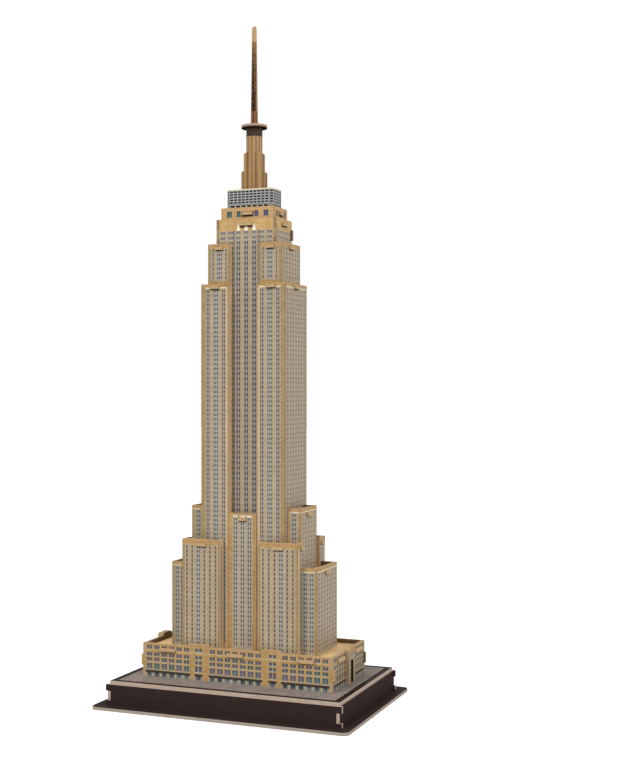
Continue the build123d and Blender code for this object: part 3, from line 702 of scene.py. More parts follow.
# %% Tower shells
x0, y0, z0, x1, y1, z1 = span("tower_shell_right")
RETURN_END = -13.6                       # the returns' tabs reach this far into the core
CORE_FACE = span("core_front_wall")[1]
front_at = (RETURN_END - y0) - x0        # distance along the sheet where x is 0 on the front
side_at = (RETURN_END - y0) + (x1 - x0) - y0
total = 2 * side_at
tower_z = (46.5, 316.0)
front = (
    band("pink_stone", (x0, 14.2), (DECK, z1)) + band("quoin", (30.9, x1), (DECK, z1))
    + strip("tower_windows", [15.7, 28.7], 3.2, tower_z)
    + strip("wide_windows", [22.2], 4.6, tower_z, across=3)
    + band("cream", (14.2, 30.9), (316.7, 317.6)) + band("ochre", (x0, x1), (318.0, z1))
)
side = (
    band("quoin", (y0, -20.6), (DECK, z1)) + band("quoin", (20.6, y1), (DECK, z1))
    + strip("side_windows", EVERY_SIX, 3.4, tower_z)
    + band("cream", (-20.6, 20.6), (316.7, 317.4)) + band("ochre", (y0, y1), (318.0, z1))
)
start = abs(RETURN_END - CORE_FACE)
returns = band("return_brown", (0, RETURN_END - y0), (DECK, z1))
layers = returns + turned(returns, total) + moved(front, front_at) + moved(side, side_at)
layers += turned(moved(front, front_at), total)
tower_roof_z = thick("tower_roof_right")
corner_roof_z = thick("corner_wing_roof_front_right")
shoulder_roof_z = thick("shoulder_roof_right")
faces_front = slots([23.0 + front_at], 3.8, tower_roof_z) + slots([23.0 + front_at], 3.0, corner_roof_z)
holes = faces_front + from_far_end(faces_front, total)
holes += slots([side_at], 4.7, tower_roof_z) + slots([side_at], 5.0, shoulder_roof_z)
short = RETURN_END + (BOARD - y0)        # the returns stop at the roof's level, for the upper shell
holes += [(0, short, tower_roof_z[1], z1 + 1), (total - short, total, tower_roof_z[1], z1 + 1)]
spans = [(start, total - start, DECK, z1), (side_at - 6, side_at + 6, z0, DECK)]
RETURN_TABS = ((95, 103), (195, 203), (285, 293))
for low, high in RETURN_TABS:
    spans += [(0, start, low, high), (total - start, total, low, high)]
path = [(x0, RETURN_END), (x0, y0), (x1, y0), (x1, y1), (x0, y1), (x0, -RETURN_END)]
right_and_left("tower_shell_{}", path, spans, holes, layers)

# %% Upper shells
x0, y0, z0, x1, y1, z1 = span("upper_shell_right")
front_at = (CORE_FACE - y0) - x0
side_at = (CORE_FACE - y0) + (x1 - x0) - y0
total = 2 * side_at
upper_z = (322.8, 347.3)
front = (
    band("quoin", (x0, 14.2), (z0, z1)) + band("quoin", (27.7, x1), (z0, z1))
    + strip("tower_windows", [15.4, 26.1], 1.6, upper_z, across=1)
    + strip("wide_windows", [20.8], 4.6, upper_z, across=3)
    + band("ochre", (x0, x1), (z0, 322.4)) + band("ochre", (x0, x1), (347.6, z1))
)
side = (
    strip("side_windows", [-15.0, -9.0, -3.0, 3.0, 9.0, 15.0], 3.2, upper_z)
    + band("ochre", (y0, y1), (347.6, z1)) + band("quoin", (y0, -17.6), (z0, z1))
    + band("quoin", (17.6, y1), (z0, z1)) + band("ochre", (y0, y1), (z0, 321.4))
)
returns = band("return_brown", (0, CORE_FACE - y0), (z0, z1))
layers = returns + turned(returns, total) + moved(front, front_at) + moved(side, side_at)
layers += turned(moved(front, front_at), total)
upper_roof_z = thick("upper_roof_right")
faces_front = slots([21.0 + front_at], 3.2, upper_roof_z)
holes = faces_front + from_far_end(faces_front, total)
holes += slots([side_at], 4.7, upper_roof_z)
path = [(x0, CORE_FACE), (x0, y0), (x1, y0), (x1, y1), (x0, y1), (x0, -CORE_FACE)]
right_and_left("upper_shell_{}", path, [(0, total, z0, z1)], holes, layers)

# %% [markdown]
# ## Blocks round the tower's foot
#
# Shoulders, outer wings, corner wings and the centre bays step down from the tower. All are boards
# folded into a front and its returns, open towards the tower, with a golden band along the top and a
# roof tab that comes through a slot.

# %% Shoulders and outer wings
for stem, key_columns, top, feet in (
    ("shoulder", ([39.5], 3.8), 150.5, 6.0), ("outer_wing", ([50.6, 55.2], 3.4), 107.0, 6.0),
):
    x0, y0, z0, x1, y1, z1 = span(stem + "_right")
    side_at = (x1 - x0) - y0
    total = 2 * side_at
    rows = int((top - 4.4 - DECK) / COURSE)
    wall_z = (top - 4.0 - rows * COURSE, top - 4.0)
    inner_band = "return_brown" if stem == "shoulder" else "grey_stone"
    front = (
        band(inner_band, (x0, x0 + 2.3), (DECK, z1)) + band("quoin", (x1 - 2.3, x1), (DECK, z1))
        + strip("wide_windows", key_columns[0], key_columns[1], wall_z)
        + band("cream", (x0 + 1, x1 - 1), (top - 3.2, top - 2.6)) + band("ochre", (x0, x1), (top - 2.3, z1))
    )
    middles = [m for m in EVERY_SIX if abs(m) < y1 - 3]
    side = (
        band("quoin", (y0, y0 + 1.8), (DECK, z1)) + band("quoin", (y1 - 1.8, y1), (DECK, z1))
        + strip("side_windows", middles, 3.4, wall_z)
        + band("cream", (y0 + 1, y1 - 1), (top - 3.2, top - 2.6)) + band("ochre", (y0, y1), (top - 2.3, z1))
    )
    layers = moved(front, -x0) + moved(side, side_at)
    layers += turned(moved(front, -x0), total)
    holes = slots([side_at], 4.7, thick(stem + "_roof_right"))
    if stem == "shoulder":
        holes += slots([side_at], 5.0, thick("outer_wing_roof_right"))
    path = [(x0, y0), (x1, y0), (x1, y1), (x0, y1)]
    spans = [(0, total, DECK, z1), (side_at - feet, side_at + feet, z0, DECK)]
    right_and_left(stem + "_{}", path, spans, holes, layers)

# %% Corner wings
x0, y0, z0, x1, y1, z1 = span("corner_wing_front_right")
inner_end = span("tower_shell_right")[1] - 0.1
front_at = (inner_end - y0) - x0
side_at = (inner_end - y0) + (x1 - x0) - y0
total = side_at + y1
wing_z = (44.0, 121.0)
front = (
    band("quoin", (x0, 17.4), (DECK, z1)) + band("quoin", (45.3, x1), (DECK, z1))
    + strip("wing_windows", [19.4, 24.1, 28.7, 38.9, 43.3], 2.0, wing_z, across=1)
    + strip("wide_windows", [33.8], 3.8, wing_z) + band("ochre", (x0, x1), (121.9, z1))
)
side = (
    band("return_brown", (y0, y0 + 3.0), (DECK, z1)) + strip("side_windows", [-24.4, -19.6], 3.0, wing_z)
    + band("ochre", (y0, y1), (121.9, z1))
)
returns = band("return_brown", (0, inner_end - y0), (DECK, z1))
returns += strip("wing_windows", [3.2], 1.9, wing_z, across=1)
layers = returns + moved(front, front_at) + moved(side, side_at)
wing_roof_z = thick("corner_wing_roof_front_right")
holes = slots([31.5 + front_at], 4.1, wing_roof_z) + slots([side_at - 22.4], 3.0, wing_roof_z)
spans = [(0, total, DECK, z1), (26 + front_at, 36 + front_at, z0, DECK)]
path = [(x0, inner_end), (x0, y0), (x1, y0), (x1, y1)]
right_and_left("corner_wing_front_{}", path, spans, holes, layers)
right_and_left("corner_wing_back_{}", path, spans, holes, layers, flip_y=-1)

# %% Centre bays
x0, y0, z0, x1, y1, z1 = span("centre_bay_front")
side_at = (y1 - y0) + x1
total = 2 * side_at
bay_z = (44.8, 142.8)
columns = [-5.75, 0.0, 5.75]
front = (
    band("pale_stone", (-8.2, 8.2), (DECK, z1)) + band("ochre", (x0, -8.2), (DECK, z1))
    + band("ochre", (8.2, x1), (DECK, z1)) + strip("bay_windows", columns, 3.6, bay_z)
    + band("ochre", (x0, x1), (144.8, z1))
    + [("cream", m - 1.8, m + 1.8, 143.0, 144.4, 0, 0) for m in columns]
)
returns = band("return_brown", (0, y1 - y0), (DECK, z1))
layers = returns + turned(returns, total) + moved(front, side_at)
holes = slots([side_at], 3.1, thick("centre_bay_roof_front"))
spans = [(0, total, DECK, z1), (side_at - 4, side_at + 4, z0, DECK)]
path = [(x0, y1), (x0, y0), (x1, y0), (x1, y1)]
front_and_back("centre_bay_{}", path, spans, holes, layers)

# %% [markdown]
# ## Core
#
# The core is a plain box of four boards locked at the corners by fingers. Its front face shows as the
# dark recess between the pylons, and its top carries the lookout: a row of windows under a speckled
# golden band with three pointed caps.

# %% Core walls
CORE_X = span("core_right_wall")[3]
wall_half = CORE_X - BOARD
LOOKOUT_BAND = 361.0                     # height where the windows end and the golden band starts
recess_z = (45.0, LOOKOUT_BAND)
lookout_rows = (349.0, LOOKOUT_BAND)
fingers = ((52, 62), (202, 212), (355, 363))
lookout_z = thick("lookout_roof")
holes = slots([0.0], 5.4, lookout_z)
for floor in ("core_floor_lower", "core_floor_upper"):
    holes += slots([-18.0, 18.0], 3.0, thick(floor))
for low, high in RETURN_TABS:
    holes += slots([-13.0, 13.0], 1.2, (low, high))
for end, flip_y in (("front", 1), ("back", -1)):
    x0, _, z0, x1, _, z1 = span(f"core_{end}_wall")      # the back wall's fingers reach further
    face = (
        # Painted shade at both sides of the recess, next to the returns.
        band("shade", (-11.8, -9.3), (DECK, LOOKOUT_BAND))
        + band("shade", (9.3, 11.8), (DECK, LOOKOUT_BAND))
        + strip("recess_windows", [-6.5, 0.0, 6.5], 3.8, recess_z, storey=4.0)
        + strip("recess_windows", [-10.8, 10.8], 1.6, recess_z, across=1, storey=4.0)
        + strip("lookout_windows", [-19.2, -13.0, 13.0, 19.2], 4.0, lookout_rows, storey=4.0)
        + strip("lookout_windows", [-6.5, 0.0, 6.5], 3.8, (353.0, LOOKOUT_BAND), storey=4.0)
        + band("lookout_ochre", (x0, x1), (LOOKOUT_BAND, z1)) + band("quoin", (wall_half, x1), (345.0, z1))
        # The dark band round the lookout roof's tab is painted shadow.
        + band("quoin", (x0, -wall_half), (345.0, z1)) + band("frame", (-5.9, 5.9), (362.9, 366.9))
        + [("cap", m - 1.7, m + 1.7, LOOKOUT_BAND, 366.6, 1, 1) for m in (-6.5, 0.0, 6.5)]
    )
    spans = [(-wall_half, wall_half, DECK, z1), (-18, -10, z0, DECK), (10, 18, z0, DECK)]
    spans += [(x0, x1, low, high) for low, high in fingers]
    path = [(x0, CORE_FACE), (x1, CORE_FACE)]
    sheet(f"core_{end}_wall", "facade_board", path, shifted(spans, -x0), shifted(holes, -x0),
          moved(face, -x0), flip=(1, flip_y))

x0, y0, z0, x1, y1, z1 = span("core_right_wall")
side = (
    strip("lookout_windows", [-12.0, -6.0, 0.0, 6.0, 12.0], 3.6, lookout_rows, storey=4.0)
    + band("lookout_ochre", (y0, y1), (LOOKOUT_BAND, z1))
)
holes = slots([0.0], 5.4, lookout_z) + slots([0.0], 5.0, tower_roof_z) + slots([0.0], 5.0, upper_roof_z)
for floor in ("core_floor_lower", "core_floor_upper"):
    holes += slots([0.0], 4.0, thick(floor))
for low, high in fingers:
    holes += slots([y0 + BOARD / 2, y1 - BOARD / 2], BOARD / 2, (low, high), SLOT_PLAY)
spans = [(0, y1 - y0, DECK, z1), (-5 - y0, 5 - y0, z0, DECK)]
right_and_left("core_{}_wall", [(x1, y0), (x1, y1)], spans, shifted(holes, -y0), moved(side, -y0),
               edge="dark_foam")

# %% [markdown]
# ## Podium
#
# The podium's long walls have three stretches of bays between two narrow raised ones with golden
# pilasters. From the top: an attic of paired windows, a golden ledge, two low rows and one tall row,
# a dark fascia and the shop fronts. Fingers of the long walls come through the short ones.


# %% Podium walls
PODIUM_TOP = 45.2
SECTIONS = ((-74.7, -36.9, 6), (-21.8, 21.8, 7), (36.9, 74.7, 6))
ROWS = (("attic_windows", 40.6, 43.8), ("podium_windows", 34.9, 38.2), ("podium_windows", 31.0, 34.3),
        ("tall_windows", 24.9, 30.6))
FASCIA = (22.8, 24.6)                    # heights of the dark fascia over the shop fronts
TOP_BAND = 44.2                          # the golden band along the parapet starts here
PILASTER_X, PILASTER_HALF = 30.15, 3.3   # the narrow bays between the stretches


def podium_rows(sections, keys=ROWS):
    """The window rows and the shop fronts of each stretch (from, to, number of bays)."""
    found = []
    for a, b, bays in sections:
        found += [(key, a, b, low, high, bays, 1) for key, low, high in keys]
        found += band("fascia", (a, b), FASCIA) + band("shop_fronts", (a, b), (FLOOR, FASCIA[0]), bays, 1)
    return found


x0, y0, z0, x1, y1, z1 = span("podium_front_wall")
INNER_X = span("podium_right_wall")[3] - BOARD
front = band("podium_stone", (x0, x1), (FLOOR, z1)) + podium_rows(SECTIONS)
for middle in (-PILASTER_X, PILASTER_X):
    bay = (middle - PILASTER_HALF, middle + PILASTER_HALF)
    front += [("pair_windows", *bay, low, high, 1, 1) for _, low, high in ROWS]
    front += band("fascia", bay, FASCIA) + band("shop_fronts", bay, (FLOOR, FASCIA[0]), 1, 1)
front += band("ochre", (-INNER_X, INNER_X), (38.5, 40.3)) + band("cream", (-INNER_X, INNER_X), (40.1, 40.4))
front += band("ochre", (x0, x1), (TOP_BAND, z1))
podium_roof_z = thick("podium_roof")
podium_finger = (28.0, 36.3)
ROOF_TAB_HALF = 6.5
spans = [(-INNER_X, INNER_X, FLOOR, PODIUM_TOP), (-36.8, -21.8, 44, z1), (21.8, 36.8, 44, z1),
         (x0, x1, *podium_finger), (-57, -45, z0, FLOOR), (45, 57, z0, FLOOR)]
holes = slots([-56.3, 0.0, 56.3], ROOF_TAB_HALF, podium_roof_z)
front_and_back("podium_{}_wall", [(x0, y0), (x1, y0)], shifted(spans, -x0), shifted(holes, -x0),
               moved(front, -x0), edge="pink_foam")

# %% Podium short walls and entrances
SIDE_ROWS = [("side_rows", low, high) for _, low, high in ROWS]
x0, y0, z0, x1, y1, z1 = span("podium_right_wall")
side = band("podium_side", (y0, y1), (FLOOR, z1))
side += podium_rows(((-35.0, -7.6, 5), (7.6, 35.0, 5)), SIDE_ROWS)
side += band("ochre", (y0, y1), (38.6, 40.1)) + band("ochre", (y0, y1), (TOP_BAND, z1))
side += band("doorway", (-3.2, 3.2), (FLOOR, 37.6))
ENTRANCE_HALF, ENTRANCE_ROUND = 7.5, 2.0
bend = np.linspace(0, math.pi / 2, 7)
round_y = ENTRANCE_HALF - ENTRANCE_ROUND + ENTRANCE_ROUND * np.sin(bend)
round_z = z1 - ENTRANCE_ROUND + ENTRANCE_ROUND * np.cos(bend)
head_y = np.concatenate([-round_y[::-1], round_y])
head_z = np.concatenate([round_z[::-1], round_z])
spans = [(y0, y1, FLOOR, PODIUM_TOP), (-ENTRANCE_HALF, ENTRANCE_HALF, 44, z1),
         (-28, -16, z0, FLOOR), (16, 28, z0, FLOOR)]
holes = slots([-20.0, 20.0], ROOF_TAB_HALF, podium_roof_z)
holes += slots([y0 + BOARD / 2, y1 - BOARD / 2], BOARD / 2, podium_finger, SLOT_PLAY)
right_and_left("podium_{}_wall", [(x1, y0), (x1, y1)], shifted(spans, -y0), shifted(holes, -y0),
               moved(side, -y0), edge="pink_foam", head=(head_y - y0, head_z))

x0, y0, z0, x1, y1, z1 = span("entrance_panel_right")
DOOR_HALF, DOOR_TOP = 2.8, 37.2
panel = (
    band("podium_side", (y0, y1), (FLOOR, z1))
    + strip("side_windows", [-5.2, 5.2], 2.4, (24.6, 42.1), across=1)
    + strip("side_windows", [-1.9, 1.9], 2.2, (38.6, 42.1), across=1)
    + band("ochre", (y0, y1), (TOP_BAND, z1))
)
# The door's cut edges are drawn dark: painted shade inside the doorway.
right_and_left("entrance_panel_{}", [(x1, y0), (x1, y1)], [(0, y1 - y0, FLOOR, z1)],
               [(-DOOR_HALF - y0, DOOR_HALF - y0, 0, DOOR_TOP)], moved(panel, -y0),
               head=(head_y - y0, head_z), jamb=(0.5, y1 - y0 - 0.5, 0, 42))

# %% [markdown]
# ## Lantern, crown and mast tube
#
# Above the lookout stand a band with large windows, a grey crown with a grid of small dark openings and
# cut corners, and the mast. These are closed rings, so their path ends where it starts.

# %% Lantern band and crown
x0, y0, z0, x1, y1, z1 = span("lantern_band")
wide, deep = x1 - x0, y1 - y0
window_z = (371.2, 376.3)
# The dark band round the lantern roof's tab on the long sides is painted shadow.
long_side = band("frame", (-5.2, 5.2), (371.6, 375.9))
for hue, middle, half in (
    ("teal", -15.0, 2.1), ("teal", -7.4, 1.7), ("violet", 7.4, 1.7), ("violet", 15.2, 2.1),
):
    long_side += band("lantern_" + hue, (middle - half, middle + half), window_z, 1)
# The dark band round the lantern roof's tab on the short sides is painted shadow.
short_side = band("frame", (-4.6, 4.6), (371.6, 375.9))
for s_range in ((-10.2, -6.6), (6.6, 10.2)):
    short_side += band("lantern_grey", s_range, window_z, 1)
ring = 2 * (wide + deep)
layers = band("lantern_ochre", (0, ring), (z0, z1))
layers += moved(long_side, wide / 2) + moved(short_side, wide + deep / 2)
layers += moved(long_side, 1.5 * wide + deep) + moved(short_side, 2 * wide + 1.5 * deep)
lantern_roof_z = thick("lantern_roof")
holes = slots([wide / 2, 1.5 * wide + deep], 4.15, lantern_roof_z)
holes += slots([wide + deep / 2, 2 * wide + 1.5 * deep], 3.5, lantern_roof_z)
path = [(x0, y0), (x1, y0), (x1, y1), (x0, y1), (x0, y0)]
sheet("lantern_band", "facade_board", path, [(0, ring, z0, z1)], holes, layers, closed=True)

x0, y0, z0, x1, y1, z1 = span("crown_band")
CHAMFER = 2.7
ax, ay = x1 - CHAMFER, y1 - CHAMFER
cut = CHAMFER * math.sqrt(2)
path = [(-ax, y0), (ax, y0), (x1, -ay), (x1, ay), (ax, y1), (-ax, y1), (x0, ay), (x0, -ay), (-ax, y0)]
dots_z, arch_z = (381.9, 392.2), (379.4, 381.3)
long_side = band("crown_dots", (-ax + 0.4, ax - 0.4), dots_z, 10, 5)
long_side += band("crown_arches", (-ax + 0.6, ax - 0.6), arch_z, 7, 1)
short_side = band("crown_dots", (-ay, ay), dots_z, 5, 5) + band("crown_arches", (-ay, ay), arch_z, 3, 1)
corner_side = band("crown_dots", (-cut / 2, cut / 2), dots_z, 1, 5)
half_ring = 2 * ax + 2 * ay + 2 * cut
layers = band("crown_grey", (0, 2 * half_ring), (z0, z1))
for turn in (0.0, half_ring):
    layers += moved(corner_side, turn + 2 * ax + cut / 2) + moved(corner_side, turn + half_ring - cut / 2)
layers += band("cream", (0, 2 * half_ring), (z1 - 0.9, z1))
layers += moved(long_side, ax) + moved(short_side, 2 * ax + cut + ay)
layers += moved(long_side, half_ring + ax) + moved(short_side, half_ring + 2 * ax + cut + ay)
sheet("crown_band", "crown_board", path, [(0, 2 * half_ring, z0, z1)], (), layers,
      closed=True, crease=False)

# %% [markdown]
# The tube between the mast's wings is a strip of printed card rolled up. Its brown print has upright
# ribs in two browns, one every 3 mm round the tube.

# %% Rolled tube
BROWN_LIGHT, BROWN_DARK = "#a8875c", "#806240"


def ribbed(tree, position, pitch):
    """Light and dark brown ribs: a sine of the position, with one rib to each pitch."""
    wave = calc(tree, "SINE", calc(tree, "MULTIPLY", position, 2 * math.pi / pitch))
    return blend(tree, calc(tree, "MULTIPLY_ADD", wave, 0.5, 0.5), linear(BROWN_LIGHT), linear(BROWN_DARK))


material, tree, shader = blank("printed_card_ribbed_tube")
along, down = print_place(tree)
printed(tree, shader, ribbed(tree, along, 3.0 / COURSE), depth=2.0)
FINISH["tube"] = material
x0, y0, z0, x1, y1, z1 = span("mast_tube")
radius = x1
TUBE_CARD = 0.8                          # thickness of the rolled card
angle = np.linspace(0, 2 * math.pi, 73)
path = np.stack([radius * np.sin(angle), -radius * np.cos(angle)], 1)
ring = plan_lines(path, TUBE_CARD, True)[0][-1]
slit_half = math.asin((BOARD / 2 + SLOT_PLAY) / radius) * radius
step_top = 422.4
holes = [(m - slit_half, m + slit_half, z0 - 1, step_top) for m in ring * (np.arange(4) * 2 + 1) / 8]
stone("collar", "printed_card_dark_collar", "#43321f", "#372918", "#261b11", depth=1.6)
layers = band("tube", (0, ring), (z0, z1)) + band("collar", (0, ring), (434.6, z1))
sheet("mast_tube", "mast_card", path, [(0, ring, z0, z1)], holes, layers,
      closed=True, board=TUBE_CARD, crease=False)

# %% [markdown]
# ## Flat boards that keep their CAD shape
#
# Plates, roofs and mast boards are right as they are. A board's two skins are printed and its cut edges
# show foam, so one material serves the whole piece: where the surface faces the board's own axis it is
# print, and elsewhere it is foam. The direction of the surface (Geometry Normal) tells which.


# %% Board material helper
def plain(code, second=None, size=6.0):
    """A skin of one print colour, clouded towards a second one over patches of about size millimetres."""
    def skin(tree, xyz):
        place = add(tree, "ShaderNodeCombineXYZ", dict(enumerate(xyz))).outputs[0]
        cloud = add(tree, "ShaderNodeTexNoise", {"Vector": place, "Scale": 1 / (size * MM), "Detail": 4.0})
        return blend(tree, cloud.outputs[0], linear(code), linear(second or code))
    return skin


def border(limits, inside, outside):
    """A skin with a border: inside colour up to the limits in x and y, and outside beyond them."""
    def skin(tree, xyz):
        over = [calc(tree, "GREATER_THAN", calc(tree, "ABSOLUTE", place), limit * MM)
                for place, limit in zip(xyz, limits)]
        return blend(tree, calc(tree, "MAXIMUM", *over), inside(tree, xyz), outside(tree, xyz))
    return skin


CORE = plain("#b89b76", "#a38660", 3.0)


def board_finish(name, axis, skin, back=None, core=CORE, **surface):
    """Print where the surface looks along the axis, a back where it looks the other way, else foam.

    skin, back and core are functions of the tree and the three object coordinates that give a colour.
    """
    material, tree, shader = blank(name)
    split = add(tree, "ShaderNodeSeparateXYZ", {0: add(tree, "ShaderNodeTexCoord").outputs["Object"]})
    xyz = [split.outputs[n] for n in range(3)]
    normal = add(tree, "ShaderNodeNewGeometry").outputs["Normal"]
    dot = add(tree, "ShaderNodeVectorMath", {0: normal, 1: axis}, operation="DOT_PRODUCT").outputs["Value"]
    colour = core(tree, xyz)
    if back is None:
        dot = calc(tree, "ABSOLUTE", dot)
    else:
        colour = blend(tree, calc(tree, "LESS_THAN", dot, -0.5), colour, back(tree, xyz))
    colour = blend(tree, calc(tree, "GREATER_THAN", dot, 0.5), colour, skin(tree, xyz))
    printed(tree, shader, colour, **surface)
    return material


def dress(material, *nodes):
    """Give CAD nodes a finish through their own material slots, and leave their meshes alone."""
    for node in nodes:
        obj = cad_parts[node]
        if not obj.material_slots:
            obj.data.materials.append(material)
        for place in obj.material_slots:
            place.link = "OBJECT"
            place.material = material
    print(material.name, "on", len(nodes), "boards")


# %% [markdown]
# The plinth's boards are printed very dark brown. The pavement is grey with faint slabs and a dark brown
# border, and its film is glossier than the rest: it mirrors the shop fronts a little.

# %% Plinth and pavement
DARK = plain("#352926", "#2b211f")
PINK_CORE = plain("#b5a496", "#a08e80", 3.0)
BROWN_BACK = plain("#6d5638", "#5f4a30")
matt = {"rough": 0.6, "gloss": 0.02}
along_x = board_finish("printed_board_dark_brown_long", (0, 1, 0), DARK, core=PINK_CORE, **matt)
along_y = board_finish("printed_board_dark_brown_short", (1, 0, 0), DARK, core=PINK_CORE, **matt)
flat = board_finish("printed_board_dark_brown_flat", (0, 0, 1), DARK, plain("#d8d2c8", "#cfc8bd"),
                    core=plain("#a3968c", "#8f8278", 3.0), **matt)
dress(along_x, "base_front_wall", "base_back_wall")
dress(along_y, "base_left_wall", "base_right_wall")
dress(flat, "base_bottom_plate")


def slabs(tree, xyz):
    """Grey paving slabs, 6 mm square, each a little lighter or darker, with thin joints."""
    place = add(tree, "ShaderNodeCombineXYZ", {0: xyz[0], 1: xyz[1]}).outputs[0]
    return add(tree, "ShaderNodeTexBrick", {
        "Vector": place, "Color1": linear("#897e77"), "Color2": linear("#7d726b"),
        "Mortar": linear("#6a605a"), "Scale": 1.0, "Mortar Size": 0.15 * MM,
        "Brick Width": 6 * MM, "Row Height": 6 * MM,
    }, offset=0.0).outputs[0]


x0, y0, z0, x1, y1, z1 = span("base_top_plate")
BORDER = 4.8
pavement = board_finish("printed_board_pavement", (0, 0, 1),
                        border((x1 - BORDER, y1 - BORDER), slabs, plain("#2e211c", "#261b17")),
                        BROWN_BACK, core=PINK_CORE, rough=0.35, gloss=0.0)
shader = next(n for n in pavement.node_tree.nodes if n.type == "BSDF_PRINCIPLED")
shader.inputs["Coat Weight"].default_value = 0.12
shader.inputs["Coat Roughness"].default_value = 0.15
dress(pavement, "base_top_plate")

# %% [markdown]
# Roofs are printed a warm sand colour with faint gravel. Inside the body, ribs and floors are bare board.

# %% Roofs and hidden boards
ROOFS = [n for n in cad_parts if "roof" in n]
roof = board_finish("printed_board_sand_roof", (0, 0, 1), plain("#e2bf89", "#d3af79", 3.0),
                    BROWN_BACK, depth=1.6)
dress(roof, *ROOFS)
BARE = plain("#c9bba4", "#bdae95")
bare_x = board_finish("bare_board_across", (1, 0, 0), BARE)
bare_y = board_finish("bare_board_along", (0, 1, 0), BARE)
bare_z = board_finish("bare_board_flat", (0, 0, 1), BARE)
dress(bare_y, "base_long_rib")
dress(bare_x, "base_cross_rib_left", "base_cross_rib_right")
dress(bare_z, "core_floor_lower", "core_floor_upper")
cap = board_finish("printed_board_crown_cap", (0, 0, 1), plain("#a39c8f", "#948d80"), BROWN_BACK)
dress(cap, "crown_cap")

# %% [markdown]
# ## Mast
#
# Two brown boards cross at right angles, on the diagonals. Below the disc they carry stepped wings with
# upright ribs; above it they narrow to a dark antenna printed with a lattice. The finish reads the
# height and the distance from the middle, so it follows the boards wherever they are cut.

# %% Mast boards and disc
DISC_LOW, DISC_HIGH = thick("mast_disc")
diagonal = math.sqrt(0.5)


def antenna(tree, xyz):
    """A dark lattice: patchy bars crossing every 3.4 mm, made paler on the right by painted light, brown at
    foot and tip.
    """
    lean = calc(tree, "ADD", xyz[0], xyz[1])
    bars = [calc(tree, "FRACT", calc(tree, "MULTIPLY", calc(tree, kind, xyz[2], lean), 1 / (3.4 * MM)))
            for kind in ("ADD", "SUBTRACT")]
    place = add(tree, "ShaderNodeCombineXYZ", dict(enumerate(xyz))).outputs[0]
    noise = add(tree, "ShaderNodeTexNoise", {"Vector": place, "Scale": 1 / (2.6 * MM), "Detail": 2.0})
    patch = noise.outputs[0]
    share = calc(tree, "MULTIPLY_ADD", patch, 1.0, -0.37)
    lit = calc(tree, "LESS_THAN", calc(tree, "MINIMUM", *bars), share)
    # Painted light: right of 1.9 mm the board is drawn 0.55 of the way to a pale brown, as the side that
    # catches the light.
    right = calc(tree, "GREATER_THAN", xyz[0], 1.9 * MM)
    lattice = blend(tree, lit, linear("#2f1d10"), linear("#7f5c36"))
    lattice = blend(tree, calc(tree, "MULTIPLY", right, 0.55), lattice, linear("#b3906c"))
    height = xyz[2]
    fade = add(tree, "ShaderNodeMapRange", {0: height, 1: 478 * MM, 2: 506 * MM, 3: 0.0, 4: 1.0}).outputs[0]
    lattice = blend(tree, calc(tree, "MULTIPLY", fade, patch), lattice, linear("#a37d4e"))
    lattice = blend(tree, calc(tree, "GREATER_THAN", height, 508 * MM), lattice, linear("#b08f68"))
    return blend(tree, calc(tree, "LESS_THAN", height, 454.5 * MM), lattice, linear("#7a5536"))


def above_disc(low_part):
    """A skin that is the given one up to the disc and the antenna's lattice above it."""
    def skin(tree, xyz):
        over = calc(tree, "GREATER_THAN", xyz[2], DISC_HIGH * MM)
        return blend(tree, over, low_part(tree, xyz), antenna(tree, xyz))
    return skin


def wings(tree, xyz):
    """Upright ribs, counted outward from the mast's axis."""
    squares = [calc(tree, "MULTIPLY", xyz[n], xyz[n]) for n in (0, 1)]
    return ribbed(tree, calc(tree, "SQRT", calc(tree, "ADD", *squares)), 3.0 * MM)


wood = {"skin": above_disc(wings), "core": above_disc(plain("#ab8a5f", "#93734a", 3.0)),
        "depth": 2.0, "gloss": 0.08}
whole = board_finish("printed_board_mast_whole", (diagonal, -diagonal, 0), **wood)
split = board_finish("printed_board_mast_split", (diagonal, diagonal, 0), **wood)
dress(whole, "mast_board_whole")
dress(split, "mast_board_split")


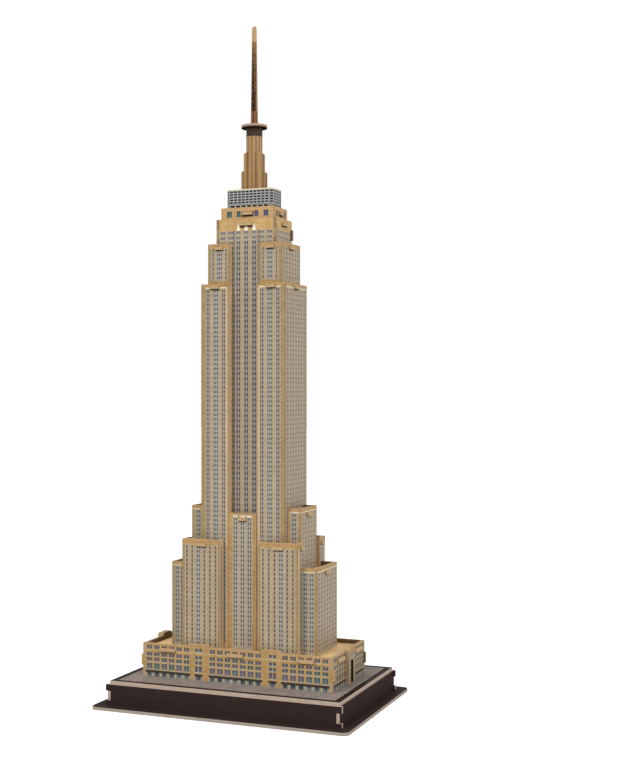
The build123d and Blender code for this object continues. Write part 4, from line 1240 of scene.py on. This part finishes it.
def rim(tree, xyz):
    """The disc's cut edge: pale above, and darkened along its lower third by painted shade."""
    # Painted shade: the lowest 0.8 mm of the edge is drawn dark brown.
    low = calc(tree, "LESS_THAN", xyz[2], (DISC_LOW + 0.8) * MM)
    return blend(tree, low, plain("#b09a8a", "#9b8676", 3.0)(tree, xyz), linear("#4d3526"))


disc = board_finish("printed_board_disc", (0, 0, 1), plain("#a9845a", "#93704a"),
                    plain("#20150e", "#180f0a"), core=rim, gloss=0.0)
dress(disc, "mast_disc")

# %% [markdown]
# ## Floor
#
# The model stands on a large sheet of white paper on a light table: the glow through the paper lifts
# the shadow, and is seen by the camera only, so that it does not light the model from below.

# %% Floor
FLOOR_HALF = 6.0
PAPER_GLOW = 0.6
mesh = bpy.data.meshes.new("paper_floor")
mesh.from_pydata([(-FLOOR_HALF, -FLOOR_HALF, 0), (FLOOR_HALF, -FLOOR_HALF, 0), (FLOOR_HALF, FLOOR_HALF, 0),
                  (-FLOOR_HALF, FLOOR_HALF, 0)], [], [(0, 1, 2, 3)])
floor = bpy.data.objects.new("paper_floor", mesh)
bpy.context.scene.collection.objects.link(floor)
material, tree, shader = blank("matt_white_paper")
place = add(tree, "ShaderNodeTexCoord").outputs["Object"]
tooth = add(tree, "ShaderNodeTexNoise", {"Vector": place, "Scale": 400.0, "Detail": 3.0}).outputs[0]
tree.links.new(blend(tree, tooth, linear("#cfcfcf"), linear("#cacac9")), shader.inputs["Base Color"])
shader.inputs["Roughness"].default_value = 0.9
shader.inputs["Emission Color"].default_value = linear("#ffffff")
seen = add(tree, "ShaderNodeLightPath").outputs["Is Camera Ray"]
tree.links.new(calc(tree, "MULTIPLY", seen, PAPER_GLOW), shader.inputs["Emission Strength"])
mesh.materials.append(material)
floor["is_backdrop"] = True
print("floor", 2 * FLOOR_HALF, "m across")

# %% [markdown]
# ## Sizes
#
# The largest difference between the CAD model's box and the box of what is shown is printed. The
# visual model has to stay inside the CAD model's box.

# %% Print the largest difference between the two boxes
shown_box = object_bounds()
difference = max(abs(a - b) for p, q in zip(CAD_BOX, shown_box) for a, b in zip(p, q))
print("largest difference in mm:", difference / MM)
